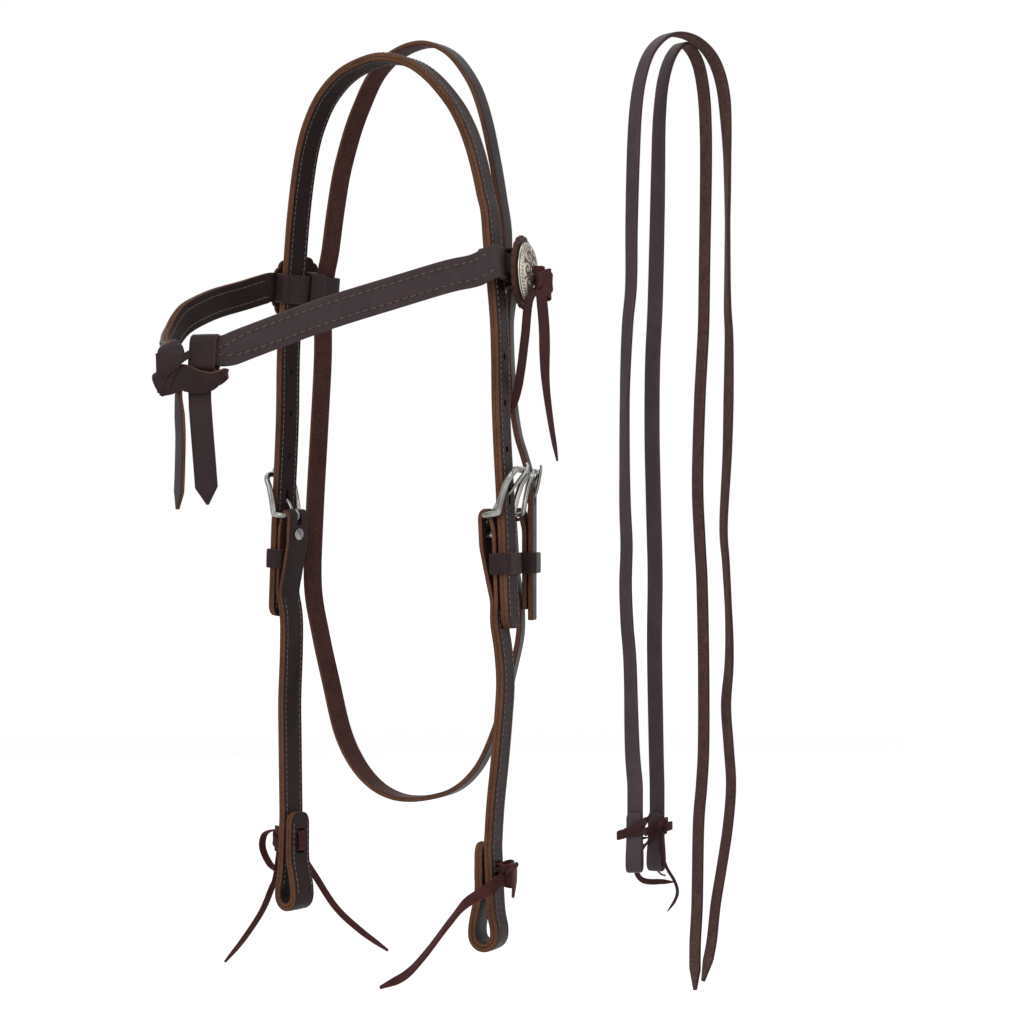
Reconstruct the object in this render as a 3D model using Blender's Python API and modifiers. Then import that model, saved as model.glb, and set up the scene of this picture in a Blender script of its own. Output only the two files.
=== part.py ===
# A western headstall with a knotted browband and a throatlatch, and a pair of split reins.
# The horse faces -Y and its near (left) side is +X. The origin is under the top of the crown strap, where a
# peg or a head carries the headstall. Lengths are in metres.

import math

import bmesh
import bpy
import numpy as np
from mathutils import Matrix, Vector

mm = 0.001

# The three sizes that place every strap: tables of places are shares of them.
half_spread = 100.0 * mm
brow_reach = 150.0 * mm
head_length = 500.0 * mm

# Leather
ply = 2.45 * mm
ply_gap = 0.3 * mm
doubled = 2 * ply + ply_gap
cheek_width = 16.0 * mm
throat_width = 12.7 * mm
throat_leather = 3.0 * mm
brow_width = 17.5 * mm
brow_ply = 2.1 * mm
rein_width = 9.0 * mm
rein_leather = 2.4 * mm
lace_leather = 1.4 * mm
edge_round = 0.3 * mm
seat_gap = 0.3 * mm
lap_gap = 0.6 * mm
running_gap = 0.9 * mm
longest_step = 40.0 * mm
flatness = 0.3 * mm

# Adjustment of the cheeks
hole_pitch = 25.4 * mm
hole_radius = 1.9 * mm
hole_rows = 3
heel_drop = 0.522 * head_length
stitch_drop = 47.0 * mm
spread_drop = 7.4 * mm
keeper_drop = 26.5 * mm

# Cheek buckle, its tongue and the two-part screw under the fold
wire_radius = 1.75 * mm
buckle_height = 24.0 * mm
buckle_side_gap = 1.0 * mm
heel_inset = 9.3 * mm
toe_stand = 6.0 * mm
tongue_radius = 1.1 * mm
tongue_ring_gap = 0.35 * mm
tongue_tip = 3.5 * mm
screw_drop = 11.0 * mm
screw_head_radius = 3.6 * mm
screw_head = 0.9 * mm
screw_barrel_radius = 2.3 * mm
screw_bore_radius = 1.7 * mm
screw_stem_radius = 1.35 * mm
recess_depth = 1.2 * mm

# Keepers
keeper_height = 11.5 * mm
keeper_wall = 1.8 * mm
keeper_gap = 0.45 * mm

# Throatlatch buckle
throat_wire_radius = 1.4 * mm
throat_heel_inset = 8.0 * mm
throat_toe_stand = 4.2 * mm
throat_tongue_radius = 0.95 * mm

# Browband loops, keepers, rosettes and conchos
loop_drop = 125.0 * mm
near_loop_spacing = 22.0 * mm
off_loop_spacing = 27.5 * mm
near_cinch_place = 11.9 * mm
off_cinch_place = 14.5 * mm
near_cinch_width = 6.8 * mm
off_cinch_width = 11.6 * mm
lace_room = 2.0 * mm
loop_corner = 2.5 * mm
rosette_radius = 21.5 * mm
rosette_leather = 2.8 * mm
scallop_count = 20
scallop_depth = 1.1 * mm
concho_radius = 16.5 * mm
concho_rise = 5.6 * mm
concho_wall = 1.2 * mm
lace_slot_spread = 2.2 * mm
lace_slot_length = 8.0 * mm
lace_slot_width = 2.1 * mm
concho_lace_width = 6.0 * mm

# Bit ends and their laces
bit_loop_radius = 6.65 * mm
bit_loop_rise = 23.0 * mm
lace_height_over_bit = 40.0 * mm
fold_back_length = 57.0 * mm
lace_hole_spread = 5.6 * mm
lace_hole_width = 6.6 * mm
lace_hole_height = 3.4 * mm
bit_lace_width = 5.4 * mm
bit_knot_radius = 4.3 * mm
bit_knot_half = 7.6 * mm

# Reins, hung over one hook beside the headstall
rein_one_spread = 113.3 * mm
rein_two_spread = 103.6 * mm
rein_reach = 126.0 * mm
rein_balance = 1.8 * mm
rein_loop_radius = 3.6 * mm
rein_loop_rise = 15.0 * mm
rein_hang = 45.0 * mm
rein_fold_back = 30.0 * mm
rein_tie_rise = 20.5 * mm
rein_lace_width = 4.4 * mm
rein_tip_length = 12.0 * mm

# Turns of the straps about the vertical, in degrees
near_yaw = 26.0
off_yaw = 9.0
throat_near_yaw = 36.0
knot_yaw = 30.0

UP = Vector((0.0, 0.0, 1.0))


# Scene and materials

def clear_scene():
    for obj in list(bpy.data.objects):
        bpy.data.objects.remove(obj, do_unlink=True)


def collection(name):
    made = bpy.data.collections.new(name)
    bpy.context.scene.collection.children.link(made)
    return made


clear_scene()
bridle = collection("leather_bridle")
cutters = collection("cutters")


def material(name, colour, roughness, metallic=0.0):
    made = bpy.data.materials.new(name)
    made.use_nodes = True
    shader = made.node_tree.nodes["Principled BSDF"]
    shader.inputs["Base Color"].default_value = (*colour, 1.0)
    shader.inputs["Roughness"].default_value = roughness
    shader.inputs["Metallic"].default_value = metallic
    made.diffuse_color = (*colour, 1.0)
    return made


dark_leather = material("dark_leather", (0.045, 0.026, 0.024), 0.5)
lining_leather = material("lining_leather", (0.075, 0.036, 0.024), 0.7)
flesh_leather = material("flesh_leather", (0.085, 0.036, 0.022), 0.75)
latigo = material("latigo_lace", (0.085, 0.020, 0.018), 0.5)
nickel = material("nickel", (0.62, 0.60, 0.57), 0.25, 1.0)
silver = material("antique_silver", (0.55, 0.52, 0.46), 0.35, 1.0)


# Paths and frames

def unit(rows):
    rows = np.asarray(rows, float)
    return rows / np.linalg.norm(rows, axis=-1, keepdims=True)


def place(spread_share, reach_share, drop_share):
    """A point from shares of the three placing sizes; drop_share runs down from the origin."""
    return Vector((half_spread * spread_share, brow_reach * reach_share, -head_length * drop_share))


def yaw(degrees):
    """The back-pointing width direction of a strap that is turned about the vertical."""
    turn = math.radians(degrees)
    return Vector((-math.sin(turn), math.cos(turn), 0.0))


def smooth(points, per_span=10):
    """A Catmull-Rom curve through the points."""
    rows = np.asarray([tuple(point) for point in points], float)
    padded = np.vstack([2 * rows[0] - rows[1], rows, 2 * rows[-1] - rows[-2]])
    part = np.linspace(0.0, 1.0, per_span, endpoint=False)[:, None]
    spans = []
    for a, b, c, d in zip(padded[:-3], padded[1:-2], padded[2:-1], padded[3:]):
        spans.append(0.5 * (2 * b + (c - a) * part + (2 * a - 5 * b + 4 * c - d) * part ** 2
                            + (3 * b - a - 3 * c + d) * part ** 3))
    return np.vstack(spans + [rows[-1:]])


class Track:
    """A strap's centre line with its tangent, width direction and face normal at every station."""

    def __init__(self, points, sides):
        self.points = np.asarray([tuple(point) for point in points], float)
        runs = unit(np.diff(self.points, axis=0))
        self.tangents = unit(np.vstack([runs[:1], runs[1:] + runs[:-1], runs[-1:]]))
        hints = np.asarray([tuple(side) for side in sides], float)
        along = np.sum(hints * self.tangents, axis=1, keepdims=True)
        self.sides = unit(hints - along * self.tangents)
        self.normals = np.cross(self.tangents, self.sides)

    def kept(self, step, turn):
        """Which stations to keep: one where the strap has turned, bowed or run on enough."""
        keep = [0]
        least = math.cos(math.radians(turn))
        for index in range(1, len(self.points) - 1):
            last = keep[-1]
            chord = self.points[index + 1] - self.points[last]
            run = np.linalg.norm(chord)
            skipped = self.points[last:index + 1] - self.points[last]
            bow = np.linalg.norm(np.cross(skipped, chord / run), axis=1).max()
            bend = min(self.tangents[index + 1] @ self.tangents[last], self.sides[index + 1] @ self.sides[last])
            if run > step or bend < least or bow > flatness:
                keep.append(index)
        return keep + [len(self.points) - 1]

    def thinned(self, step=longest_step, turn=18.0):
        keep = self.kept(step, turn)
        return Track(self.points[keep], self.sides[keep])

    def offset(self, distance):
        """The same stations moved along the face normal, mitred so that plies stay parallel."""
        runs = unit(np.diff(self.points, axis=0))
        cosines = np.ones(len(self.points))
        cosines[1:-1] = np.sqrt((1 + np.sum(runs[1:] * runs[:-1], axis=1)) / 2)
        return self.points + self.normals * (distance / cosines)[:, None]

    def at_height(self, height, sign):
        """The frame where the strap passes a height on the near (+1) or off (-1) side."""
        for index in range(len(self.points) - 1):
            a, b = self.points[index], self.points[index + 1]
            if a[0] * sign > 0 and (a[2] - height) * (b[2] - height) <= 0:
                part = (height - a[2]) / (b[2] - a[2])
                spot = Vector(a + (b - a) * part)
                up = Vector(unit(b - a)) * (1 if b[2] > a[2] else -1)
                return Frame(spot, Vector(self.normals[index]), up)
        raise ValueError("the strap doesn't reach that height")


class Frame:
    """A local frame on a strap: x points outward from the head, z up along the strap."""

    def __init__(self, origin, out, up):
        self.origin = origin.copy()
        self.up = up.normalized()
        self.out = (out - self.up * out.dot(self.up)).normalized()
        self.side = self.up.cross(self.out)

    def at(self, out=0.0, side=0.0, up=0.0):
        return self.origin + self.out * out + self.side * side + self.up * up

    def moved(self, out=0.0, side=0.0, up=0.0):
        return Frame(self.at(out, side, up), self.out, self.up)

    def matrix(self):
        columns = Matrix((self.out, self.side, self.up)).transposed().to_4x4()
        return Matrix.Translation(self.origin) @ columns


# Objects

def add(name, mesh, finish, group=None):
    obj = bpy.data.objects.new(name, mesh)
    (group or bridle).objects.link(obj)
    if finish:
        mesh.materials.append(finish)
    return obj


def solidify(obj, thickness, offset=0.0):
    shell = obj.modifiers.new("leather", "SOLIDIFY")
    shell.thickness = thickness
    shell.offset = offset
    shell.use_even_offset = True


def bevel(obj, width=edge_round, angle=50.0):
    edge = obj.modifiers.new("worn_edge", "BEVEL")
    edge.width = width
    edge.segments = 1
    edge.limit_method = "ANGLE"
    edge.angle_limit = math.radians(angle)


def ribbon(name, points, sides, widths, thickness, finish, group=None, rounded=True):
    """A strap: lofted from station to station as a surface, then given its thickness."""
    reach = sides * (np.broadcast_to(widths, (len(points),)) / 2)[:, None]
    form = bmesh.new()
    pairs = [(form.verts.new(point - half), form.verts.new(point + half)) for point, half in zip(points, reach)]
    for (a, b), (c, d) in zip(pairs, pairs[1:]):
        form.faces.new((a, b, d, c))
    mesh = bpy.data.meshes.new(name)
    form.to_mesh(mesh)
    form.free()
    obj = add(name, mesh, finish, group)
    solidify(obj, thickness)
    if rounded:
        bevel(obj)
    return obj


def tapered(points, width, start=None, end=None):
    """Strap widths along the stations: each end is a table of (distance, share of the width)."""
    runs = np.concatenate([[0.0], np.cumsum(np.linalg.norm(np.diff(points, axis=0), axis=1))])
    shares = np.ones(len(points))
    for table, distances in ((start, runs), (end, runs[-1] - runs)):
        if table:
            shares = np.minimum(shares, np.interp(distances, *zip(*table)))
    return width * shares


def with_tip(track, length, from_start):
    """Adds stations near one end, so that the tip's outline has points to follow."""
    points, sides = track.points, track.sides
    order = slice(None) if from_start else slice(None, None, -1)
    points, sides = points[order], sides[order]
    run = unit(points[1] - points[0])
    extra_shares = (0.0, 0.3, 0.65, 1.0)
    new_points = np.array([points[0] + run * length * share for share in extra_shares])
    beyond = [k for k in range(1, len(points)) if (points[k] - points[0]) @ run > length * 1.2 or k > 2]
    points = np.vstack([new_points, points[beyond]])
    sides = np.vstack([np.repeat(sides[:1], len(extra_shares), axis=0), sides[beyond]])
    return Track(points[order], sides[order])


def rounded_outline(half_x, half_y, corner, corner_points=3):
    """Points round a rectangle with rounded corners, anticlockwise."""
    outline = []
    for quarter, (sx, sy) in enumerate(((1, 1), (-1, 1), (-1, -1), (1, -1))):
        for step in range(corner_points + 1):
            angle = math.radians(90 * (quarter + step / corner_points))
            outline.append((sx * (half_x - corner) + corner * math.cos(angle),
                            sy * (half_y - corner) + corner * math.sin(angle)))
    return outline


def band(name, rings, thickness, finish, rounded=False):
    """A closed band: rings of points joined one above the other, given a thickness outward."""
    form = bmesh.new()
    loops = [[form.verts.new(point) for point in ring] for ring in rings]
    count = len(loops[0])
    for lower, upper in zip(loops, loops[1:]):
        for k in range(count):
            following = (k + 1) % count
            form.faces.new((lower[k], lower[following], upper[following], upper[k]))
    bmesh.ops.recalc_face_normals(form, faces=form.faces)
    mesh = bpy.data.meshes.new(name)
    form.to_mesh(mesh)
    form.free()
    obj = add(name, mesh, finish)
    solidify(obj, thickness)
    if rounded:
        bevel(obj)
    return obj


def wire(name, points, radius, finish, cyclic=False, resolution=2, group=None):
    curve = bpy.data.curves.new(name, "CURVE")
    curve.dimensions = "3D"
    curve.bevel_depth = radius
    curve.bevel_resolution = resolution
    curve.use_fill_caps = True
    spline = curve.splines.new("POLY")
    spline.points.add(len(points) - 1)
    for spot, point in zip(spline.points, points):
        spot.co = (*point, 1.0)
    spline.use_cyclic_u = cyclic
    return add(name, curve, finish, group)


def as_mesh(obj, weld=0.01 * mm):
    """A curve object turned into a welded mesh object of the same name."""
    bpy.context.view_layer.update()
    evaluated = obj.evaluated_get(bpy.context.evaluated_depsgraph_get())
    mesh = bpy.data.meshes.new_from_object(evaluated)
    form = bmesh.new()
    form.from_mesh(mesh)
    bmesh.ops.remove_doubles(form, verts=form.verts, dist=weld)
    form.to_mesh(mesh)
    form.free()
    name, group, matrix = obj.name, obj.users_collection[0], obj.matrix_world.copy()
    bpy.data.objects.remove(obj)
    made = bpy.data.objects.new(name, mesh)
    made.matrix_world = matrix
    group.objects.link(made)
    return made


def combine(obj, others, operation):
    """A Boolean modifier for each helper, which moves to the cutters."""
    for other in others:
        other.hide_render = True
        other.display_type = "WIRE"
        for group in list(other.users_collection):
            group.objects.unlink(other)
        cutters.objects.link(other)
        step = obj.modifiers.new(operation.lower(), "BOOLEAN")
        step.operation = operation
        step.solver = "EXACT"
        step.object = other


def cut(obj, *others):
    combine(obj, others, "DIFFERENCE")


def fuse(obj, *others):
    combine(obj, others, "UNION")


def rod(name, frame, radius, start, end, sides=12):
    """A cylinder along the frame's outward direction, from start to end."""
    form = bmesh.new()
    bmesh.ops.create_cone(form, cap_ends=True, segments=sides, radius1=radius, radius2=radius, depth=end - start)
    mesh = bpy.data.meshes.new(name)
    form.to_mesh(mesh)
    form.free()
    obj = add(name, mesh, None, cutters)
    outward = Matrix.Rotation(math.radians(90), 4, "Y")
    obj.matrix_world = frame.moved(out=(start + end) / 2).matrix() @ outward
    return obj


def block(name, frame, size, group=None, finish=None):
    """A box centred on the frame; size runs outward, sideways and up."""
    form = bmesh.new()
    bmesh.ops.create_cube(form, size=1.0)
    bmesh.ops.scale(form, vec=size, verts=form.verts)
    mesh = bpy.data.meshes.new(name)
    form.to_mesh(mesh)
    form.free()
    obj = add(name, mesh, finish, group or cutters)
    obj.matrix_world = frame.matrix()
    return obj


def turned(name, frame, profile, finish, steps=16):
    """A turned piece: (radius, outward) points spun about the frame's outward direction."""
    mesh = bpy.data.meshes.new(name)
    points = [(radius, 0.0, height) for radius, height in profile]
    mesh.from_pydata(points, [(k, k + 1) for k in range(len(points) - 1)], [])
    obj = add(name, mesh, finish)
    spin = obj.modifiers.new("turned", "SCREW")
    spin.axis = "Z"
    spin.steps = steps
    spin.render_steps = steps
    spin.use_merge_vertices = True
    spin.merge_threshold = 0.02 * mm
    outward = Matrix.Rotation(math.radians(90), 4, "Y")
    obj.matrix_world = frame.matrix() @ outward
    return obj


def hinge(name, frame, children):
    """An empty on a joint's axis that carries the moving pieces."""
    pivot = bpy.data.objects.new(name, None)
    bridle.objects.link(pivot)
    pivot.matrix_world = frame.matrix()
    bpy.context.view_layer.update()
    for child in children:
        child.parent = pivot
        child.matrix_parent_inverse = pivot.matrix_world.inverted()
    return pivot


# Crown strap

# Drop and spread of a cheek leg below the arch, shares of head_length and half_spread.
leg_shares = ((0.192, 0.88), (0.230, 0.902), (0.266, 0.928), (0.310, 0.955), (0.350, 0.965), (0.400, 0.970),
              (0.450, 0.985), (0.500, 1.005), (0.545, 1.020), (0.590, 1.032), (0.645, 1.048))
# The arch over the head: spread and drop, from the off side to the near side.
crown_arch_shares = ((-0.865, 0.170), (-0.840, 0.141), (-0.810, 0.113), (-0.770, 0.085), (-0.706, 0.058),
                     (-0.594, 0.030), (-0.430, 0.009), (-0.246, -0.001), (-0.020, -0.003), (0.211, 0.009),
                     (0.396, 0.030), (0.574, 0.062), (0.684, 0.091), (0.757, 0.119), (0.810, 0.147),
                     (0.848, 0.172))
tip_shares = (0.35, 0.62, 0.86, 1.0)
tip_length = 7.0 * mm


def crown_track():
    """From the off tail over the head to the near tail; its normals point outward."""
    off_leg = [place(-spread, 0.0, drop) for drop, spread in reversed(leg_shares)]
    near_leg = [place(spread, 0.0, drop) for drop, spread in leg_shares]
    arch = [place(spread, 0.0, drop) for spread, drop in crown_arch_shares]
    points = smooth(off_leg + arch + near_leg)
    turns = np.interp(points[:, 0] / half_spread, (-0.9, -0.5, 0.0, 0.6, 0.95),
                      (off_yaw, off_yaw + 3.0, near_yaw - 10.0, near_yaw - 4.0, near_yaw))
    return Track(points, [yaw(turn) for turn in turns])


crown = crown_track()
near, off = 1, -1
side_name = {near: "near", off: "off"}
heel = {side: crown.at_height(-heel_drop, side) for side in (near, off)}


def tip_table(length):
    return [(length * share, tip) for share, tip in zip((0.0, 0.3, 0.65, 1.0), tip_shares)]


def make_crown():
    stations = crown.thinned()
    stations = with_tip(stations, tip_length, True)
    stations = with_tip(stations, tip_length, False)
    pieces = []
    for name, shift, finish in (("crown_outer_ply", 1, dark_leather), ("crown_lining_ply", -1, lining_leather)):
        points = stations.offset(shift * (ply + ply_gap) / 2)
        widths = tapered(points, cheek_width, tip_table(tip_length), tip_table(tip_length))
        piece = ribbon(name, points, stations.sides, widths, ply, finish)
        for side in (near, off):
            for row in range(1, hole_rows + 1):
                frame = heel[side].moved(up=tongue_hole_rise + row * hole_pitch)
                spot = crown.at_height(frame.origin.z, side)
                cut(piece, rod(name + "_hole", spot, hole_radius, -doubled, doubled))
            slot = heel[side].moved(up=tongue_hole_rise)
            slot_size = (2 * doubled, 2 * tongue_radius + 2 * ply_gap, tongue_slot_length)
            cut(piece, block(name + "_slot", slot, slot_size))
        pieces.append(piece)
    return pieces


# Cheek and throat buckles: shares run across the buckle, from the heel bar outward and up.
tongue_slot_length = 10.2 * mm
tongue_hole_rise = 10.3 * mm


def buckle_wire(name, frame, half_width, height, heel_out, toe_out, radius):
    """A bent wire frame whose heel bar lies inside the strap and whose toe bar lies outside it."""
    outline = rounded_outline(half_width, height / 2, buckle_side_gap + radius, 4)
    points = []
    for side, up in outline:
        share = (up + height / 2) / height
        blend = share * share * (3 - 2 * share)
        points.append(frame.at(heel_out + (toe_out - heel_out) * blend, side, up + height / 2))
    obj = wire(name, points, radius, nickel, cyclic=True)
    return obj


def buckle_tongue(name, frame, radius, bar_radius, heel_out, toe_out, height, strap):
    """A ring round the heel bar and a bent wire through the strap to the outside of the toe bar."""
    pivot = frame.moved(out=heel_out)
    ring_radius = bar_radius + tongue_ring_gap + radius
    bpy.ops.mesh.primitive_torus_add(major_segments=16, minor_segments=8,
                                     major_radius=ring_radius, minor_radius=radius)
    ring = bpy.context.active_object
    ring.name = name
    for group in list(ring.users_collection):
        group.objects.unlink(ring)
    bridle.objects.link(ring)
    ring.data.materials.append(nickel)
    ring.matrix_world = pivot.matrix() @ Matrix.Rotation(math.radians(90), 4, "X")
    rest_out = toe_out - heel_out + bar_radius + seat_gap + radius
    through = -heel_out
    start = (ring_radius * 0.6, ring_radius * 0.8)
    inner = (through - strap * 0.65, tongue_hole_rise - strap * 0.42)
    outer = (through + strap * 0.65, tongue_hole_rise + strap * 0.5)
    toe = (rest_out, height)
    tip = (rest_out + tongue_tip * 0.1, height + tongue_tip)
    spots = [pivot.at(out, 0.0, up) for out, up in (start, inner, outer, toe, tip)]
    shaft = as_mesh(wire(name + "_shaft", spots, radius, nickel))
    fuse(ring, shaft)
    return ring


def keeper(name, frame, inner_out, outer_out, half_side, finish=None):
    """A band with a clear gap round what it holds, from inner_out to outer_out across the stack."""
    half_out = (outer_out - inner_out) / 2 + keeper_gap + keeper_wall / 2
    half_wide = half_side + keeper_gap + keeper_wall / 2
    centre = (outer_out + inner_out) / 2
    outline = rounded_outline(half_out, half_wide, keeper_wall)
    rings = [[frame.at(centre + out, side, up) for out, side in outline]
             for up in (-keeper_height / 2, keeper_height / 2)]
    return band(name, rings, keeper_wall, finish or dark_leather)


# Lower cheeks: (reach share, spread share, drop share) below the stitched lap.
near_cheek_shares = ((0.992, -0.020, 0.640), (1.016, -0.016, 0.668), (1.024, -0.010, 0.704), (0.990, 0.0, 0.745),
                     (0.962, 0.0, 0.790), (0.925, 0.0, 0.840), (0.905, 0.0, 0.885))
off_cheek_shares = ((-0.944, 0.006, 0.645), (-0.940, 0.004, 0.690), (-0.948, 0.0, 0.745), (-0.945, 0.0, 0.790),
                    (-0.940, 0.0, 0.840), (-0.935, 0.0, 0.885))
stack_out = doubled + lap_gap
outer_ply_out = -(doubled / 2 + lap_gap + ply / 2)


def lower_cheek(side):
    """One strip folded at the heel bar: both plies run down, round the bit and up to the rounded tip."""
    frame = heel[side]
    label = side_name[side]
    table = near_cheek_shares if side == near else off_cheek_shares
    width_way = frame.side
    out = width_way.cross(UP)
    lap = [crown.at_height(-heel_drop - stitch_drop, side).at(-stack_out)]
    hang = [place(*shares) for shares in table]
    last = hang[-1]
    bottom = doubled / 2 + bit_loop_radius - head_length
    bit_shift = bit_loop_radius - (doubled + ply_gap) / 2
    bit_centre = Frame(Vector((last.x, last.y, bottom)) - out * (bit_loop_radius - bit_shift), out, UP)
    spine = smooth(lap + hang)
    rise_points = [Vector(spine[-1]), bit_centre.at(bit_loop_radius - bit_shift * 0.55, 0.0, bit_loop_rise * 0.62),
                   bit_centre.at(bit_loop_radius - bit_shift * 0.1, 0.0, bit_loop_rise * 0.25)]
    around = []
    loop_steps = 12
    for step in range(loop_steps + 1):
        angle = math.pi * step / loop_steps
        around.append(bit_centre.at(bit_loop_radius * math.cos(angle), 0.0, -bit_loop_radius * math.sin(angle)))
    closing = [bit_centre.at(-(bit_loop_radius - bit_shift * 0.1), 0.0, bit_loop_rise * 0.25),
               bit_centre.at(-(bit_loop_radius - bit_shift * 0.55), 0.0, bit_loop_rise * 0.62)]
    tip_up = fold_back_length - bit_loop_radius
    fold_back = [bit_centre.at(-(bit_loop_radius - bit_shift), 0.0, bit_loop_rise),
                 bit_centre.at(-(bit_loop_radius - bit_shift), 0.0, (bit_loop_rise + tip_up) / 2),
                 bit_centre.at(-(bit_loop_radius - bit_shift), 0.0, tip_up)]
    whole = np.vstack([spine[:-1], smooth(rise_points + around + closing + fold_back, 5)])
    sides = np.repeat(np.array([tuple(width_way)]), len(whole), axis=0)
    centre = Track(whole, sides).thinned()
    centre = with_tip(centre, tip_length, False)
    shift = (ply + ply_gap) / 2
    outer = centre.offset(shift)
    inner = centre.offset(-shift)
    bar = frame.moved(out=-heel_inset)
    fold_radius = wire_radius + seat_gap + ply / 2
    fold_steps = 10
    arc = []
    for step in range(fold_steps + 1):
        angle = math.pi * (1 - step / fold_steps)
        arc.append(bar.at(fold_radius * math.cos(angle), 0.0, fold_radius * math.sin(angle)))
    keeper_room = keeper_wall + 2 * keeper_gap
    inner_at_keeper = outer_ply_out - ply - keeper_room
    low = crown.at_height(-heel_drop - keeper_drop - keeper_height / 2, side)
    high = crown.at_height(-heel_drop - spread_drop, side)
    inner_lead = [low.at(inner_at_keeper - ply_gap),
                  bar.at(-fold_radius, 0.0, -screw_drop - screw_head_radius - ply),
                  bar.at(-fold_radius, 0.0, -fold_radius)]
    outer_lead = [bar.at(fold_radius, 0.0, -ply), high.at(outer_ply_out), low.at(outer_ply_out)]
    strip = np.vstack([inner[::-1], inner_lead, arc, outer_lead, outer])
    strip_sides = np.repeat(np.array([tuple(width_way)]), len(strip), axis=0)
    path = Track(strip, strip_sides)
    widths = tapered(path.points, cheek_width, tip_table(tip_length), tip_table(tip_length))
    piece = ribbon(label + "_lower_cheek", path.points, path.sides, widths, ply, dark_leather)
    slot_height = 2 * fold_radius + 2 * ply
    slot = block(label + "_fold_slot", bar.moved(up=(ply - fold_radius) / 4),
                 (4 * fold_radius, 2 * tongue_radius + 4 * ply_gap + edge_round, slot_height))
    screw = frame.moved(up=-screw_drop)
    bore = rod(label + "_screw_bore", screw, screw_barrel_radius + ply_gap, -2 * heel_inset, 0.0)
    cut(piece, slot, bore)
    inner_face = -heel_inset - fold_radius - ply / 2 + ply_gap
    outer_face = outer_ply_out + ply / 2 - recess_depth
    seat_radius = screw_head_radius + ply_gap
    cut(piece, rod(label + "_cap_seat", screw, seat_radius, outer_face, 0.0),
        rod(label + "_post_seat", screw, seat_radius, inner_face - 3 * ply, inner_face))
    lace_spot = bit_centre.moved(up=lace_height_over_bit - bit_loop_radius)
    for shift in (-lace_hole_spread, lace_hole_spread):
        cut(piece, block(label + "_lace_hole", lace_spot.moved(up=shift),
                         (6 * doubled, lace_hole_width, lace_hole_height)))
    screws(label, screw, inner_face, outer_face)
    inner_out = outer_ply_out - ply / 2
    keep_frame = crown.at_height(-heel_drop - keeper_drop, side)
    band_piece = keeper(label + "_cheek_keeper", keep_frame, inner_out, doubled / 2, cheek_width / 2)
    hinge(label + "_keeper_slide", keep_frame, [band_piece])
    return piece, lace_spot


def screws(label, frame, inner_face, outer_face):
    """The post with its bore, headed on the inside, and the cap with its stem, headed under the tail."""
    head_in = inner_face - seat_gap
    head_out = outer_face + seat_gap
    barrel_end = head_out - seat_gap
    stem_end = head_in + screw_head
    post = turned(label + "_screw_post", frame, [
        (screw_bore_radius, barrel_end), (screw_barrel_radius, barrel_end), (screw_barrel_radius, head_in),
        (screw_head_radius, head_in), (screw_head_radius * 0.92, head_in - screw_head * 0.6),
        (screw_head_radius * 0.6, head_in - screw_head), (0.0, head_in - screw_head),
    ], nickel)
    seal_bore(post, screw_bore_radius, barrel_end, head_in)
    turned(label + "_screw_cap", frame, [
        (0.0, head_out + screw_head), (screw_head_radius * 0.8, head_out + screw_head),
        (screw_head_radius, head_out + screw_head * 0.5), (screw_head_radius, head_out),
        (screw_stem_radius, head_out), (screw_stem_radius, stem_end), (0.0, stem_end),
    ], nickel)


def seal_bore(post, radius, mouth, floor):
    """Adds the blind bore's wall and floor to the post's profile."""
    mesh = post.data
    profile = [tuple(vertex.co) for vertex in mesh.vertices]
    profile = [(0.0, 0.0, floor), (radius, 0.0, floor)] + profile
    mesh.clear_geometry()
    mesh.from_pydata(profile, [(k, k + 1) for k in range(len(profile) - 1)], [])


def cheek_buckle(side):
    frame = heel[side]
    label = side_name[side] + "_cheek"
    half_width = cheek_width / 2 + buckle_side_gap + wire_radius
    buckle_wire(label + "_buckle_frame", frame, half_width, buckle_height, -heel_inset, toe_stand, wire_radius)
    tongue = buckle_tongue(label + "_buckle_tongue", frame, tongue_radius, wire_radius, -heel_inset, toe_stand,
                           buckle_height, doubled)
    hinge(label + "_tongue_swing", frame.moved(out=-heel_inset), [tongue])


# Throatlatch: places in shares of spread, reach and drop.
throat_centre = place(0.94, 0.173, 0.522)
throat_arch_shares = ((-0.900, 0.203), (-0.859, 0.166), (-0.823, 0.137), (-0.782, 0.109), (-0.721, 0.081),
                      (-0.650, 0.054), (-0.555, 0.027), (-0.441, 0.001), (-0.289, -0.016), (-0.125, -0.024),
                      (0.055, -0.024), (0.213, -0.014), (0.346, 0.003), (0.477, 0.031), (0.552, 0.056),
                      (0.610, 0.084), (0.654, 0.112), (0.694, 0.140), (0.728, 0.168), (0.765, 0.200))
throat_off_reach_share, throat_near_reach_share = 0.180, 0.145
throat_lean_shares = ((0.936, 0.172, 0.488), (0.900, 0.160, 0.458), (0.868, 0.143, 0.430), (0.846, 0.128, 0.380),
                      (0.836, 0.122, 0.310))
throat_off_shares = ((-0.972, 0.180, 0.330), (-0.990, 0.170, 0.420), (-1.005, 0.155, 0.520),
                     (-1.000, 0.143, 0.608), (-0.916, 0.140, 0.668), (-0.809, 0.137, 0.724),
                     (-0.690, 0.135, 0.783), (-0.545, 0.133, 0.819), (-0.370, 0.133, 0.842),
                     (-0.180, 0.133, 0.852), (0.0, 0.133, 0.852), (0.180, 0.133, 0.846),
                     (0.358, 0.133, 0.835), (0.500, 0.135, 0.817), (0.618, 0.138, 0.790),
                     (0.745, 0.145, 0.738), (0.835, 0.152, 0.684))
throat_lap_drop = 52.0 * mm


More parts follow.
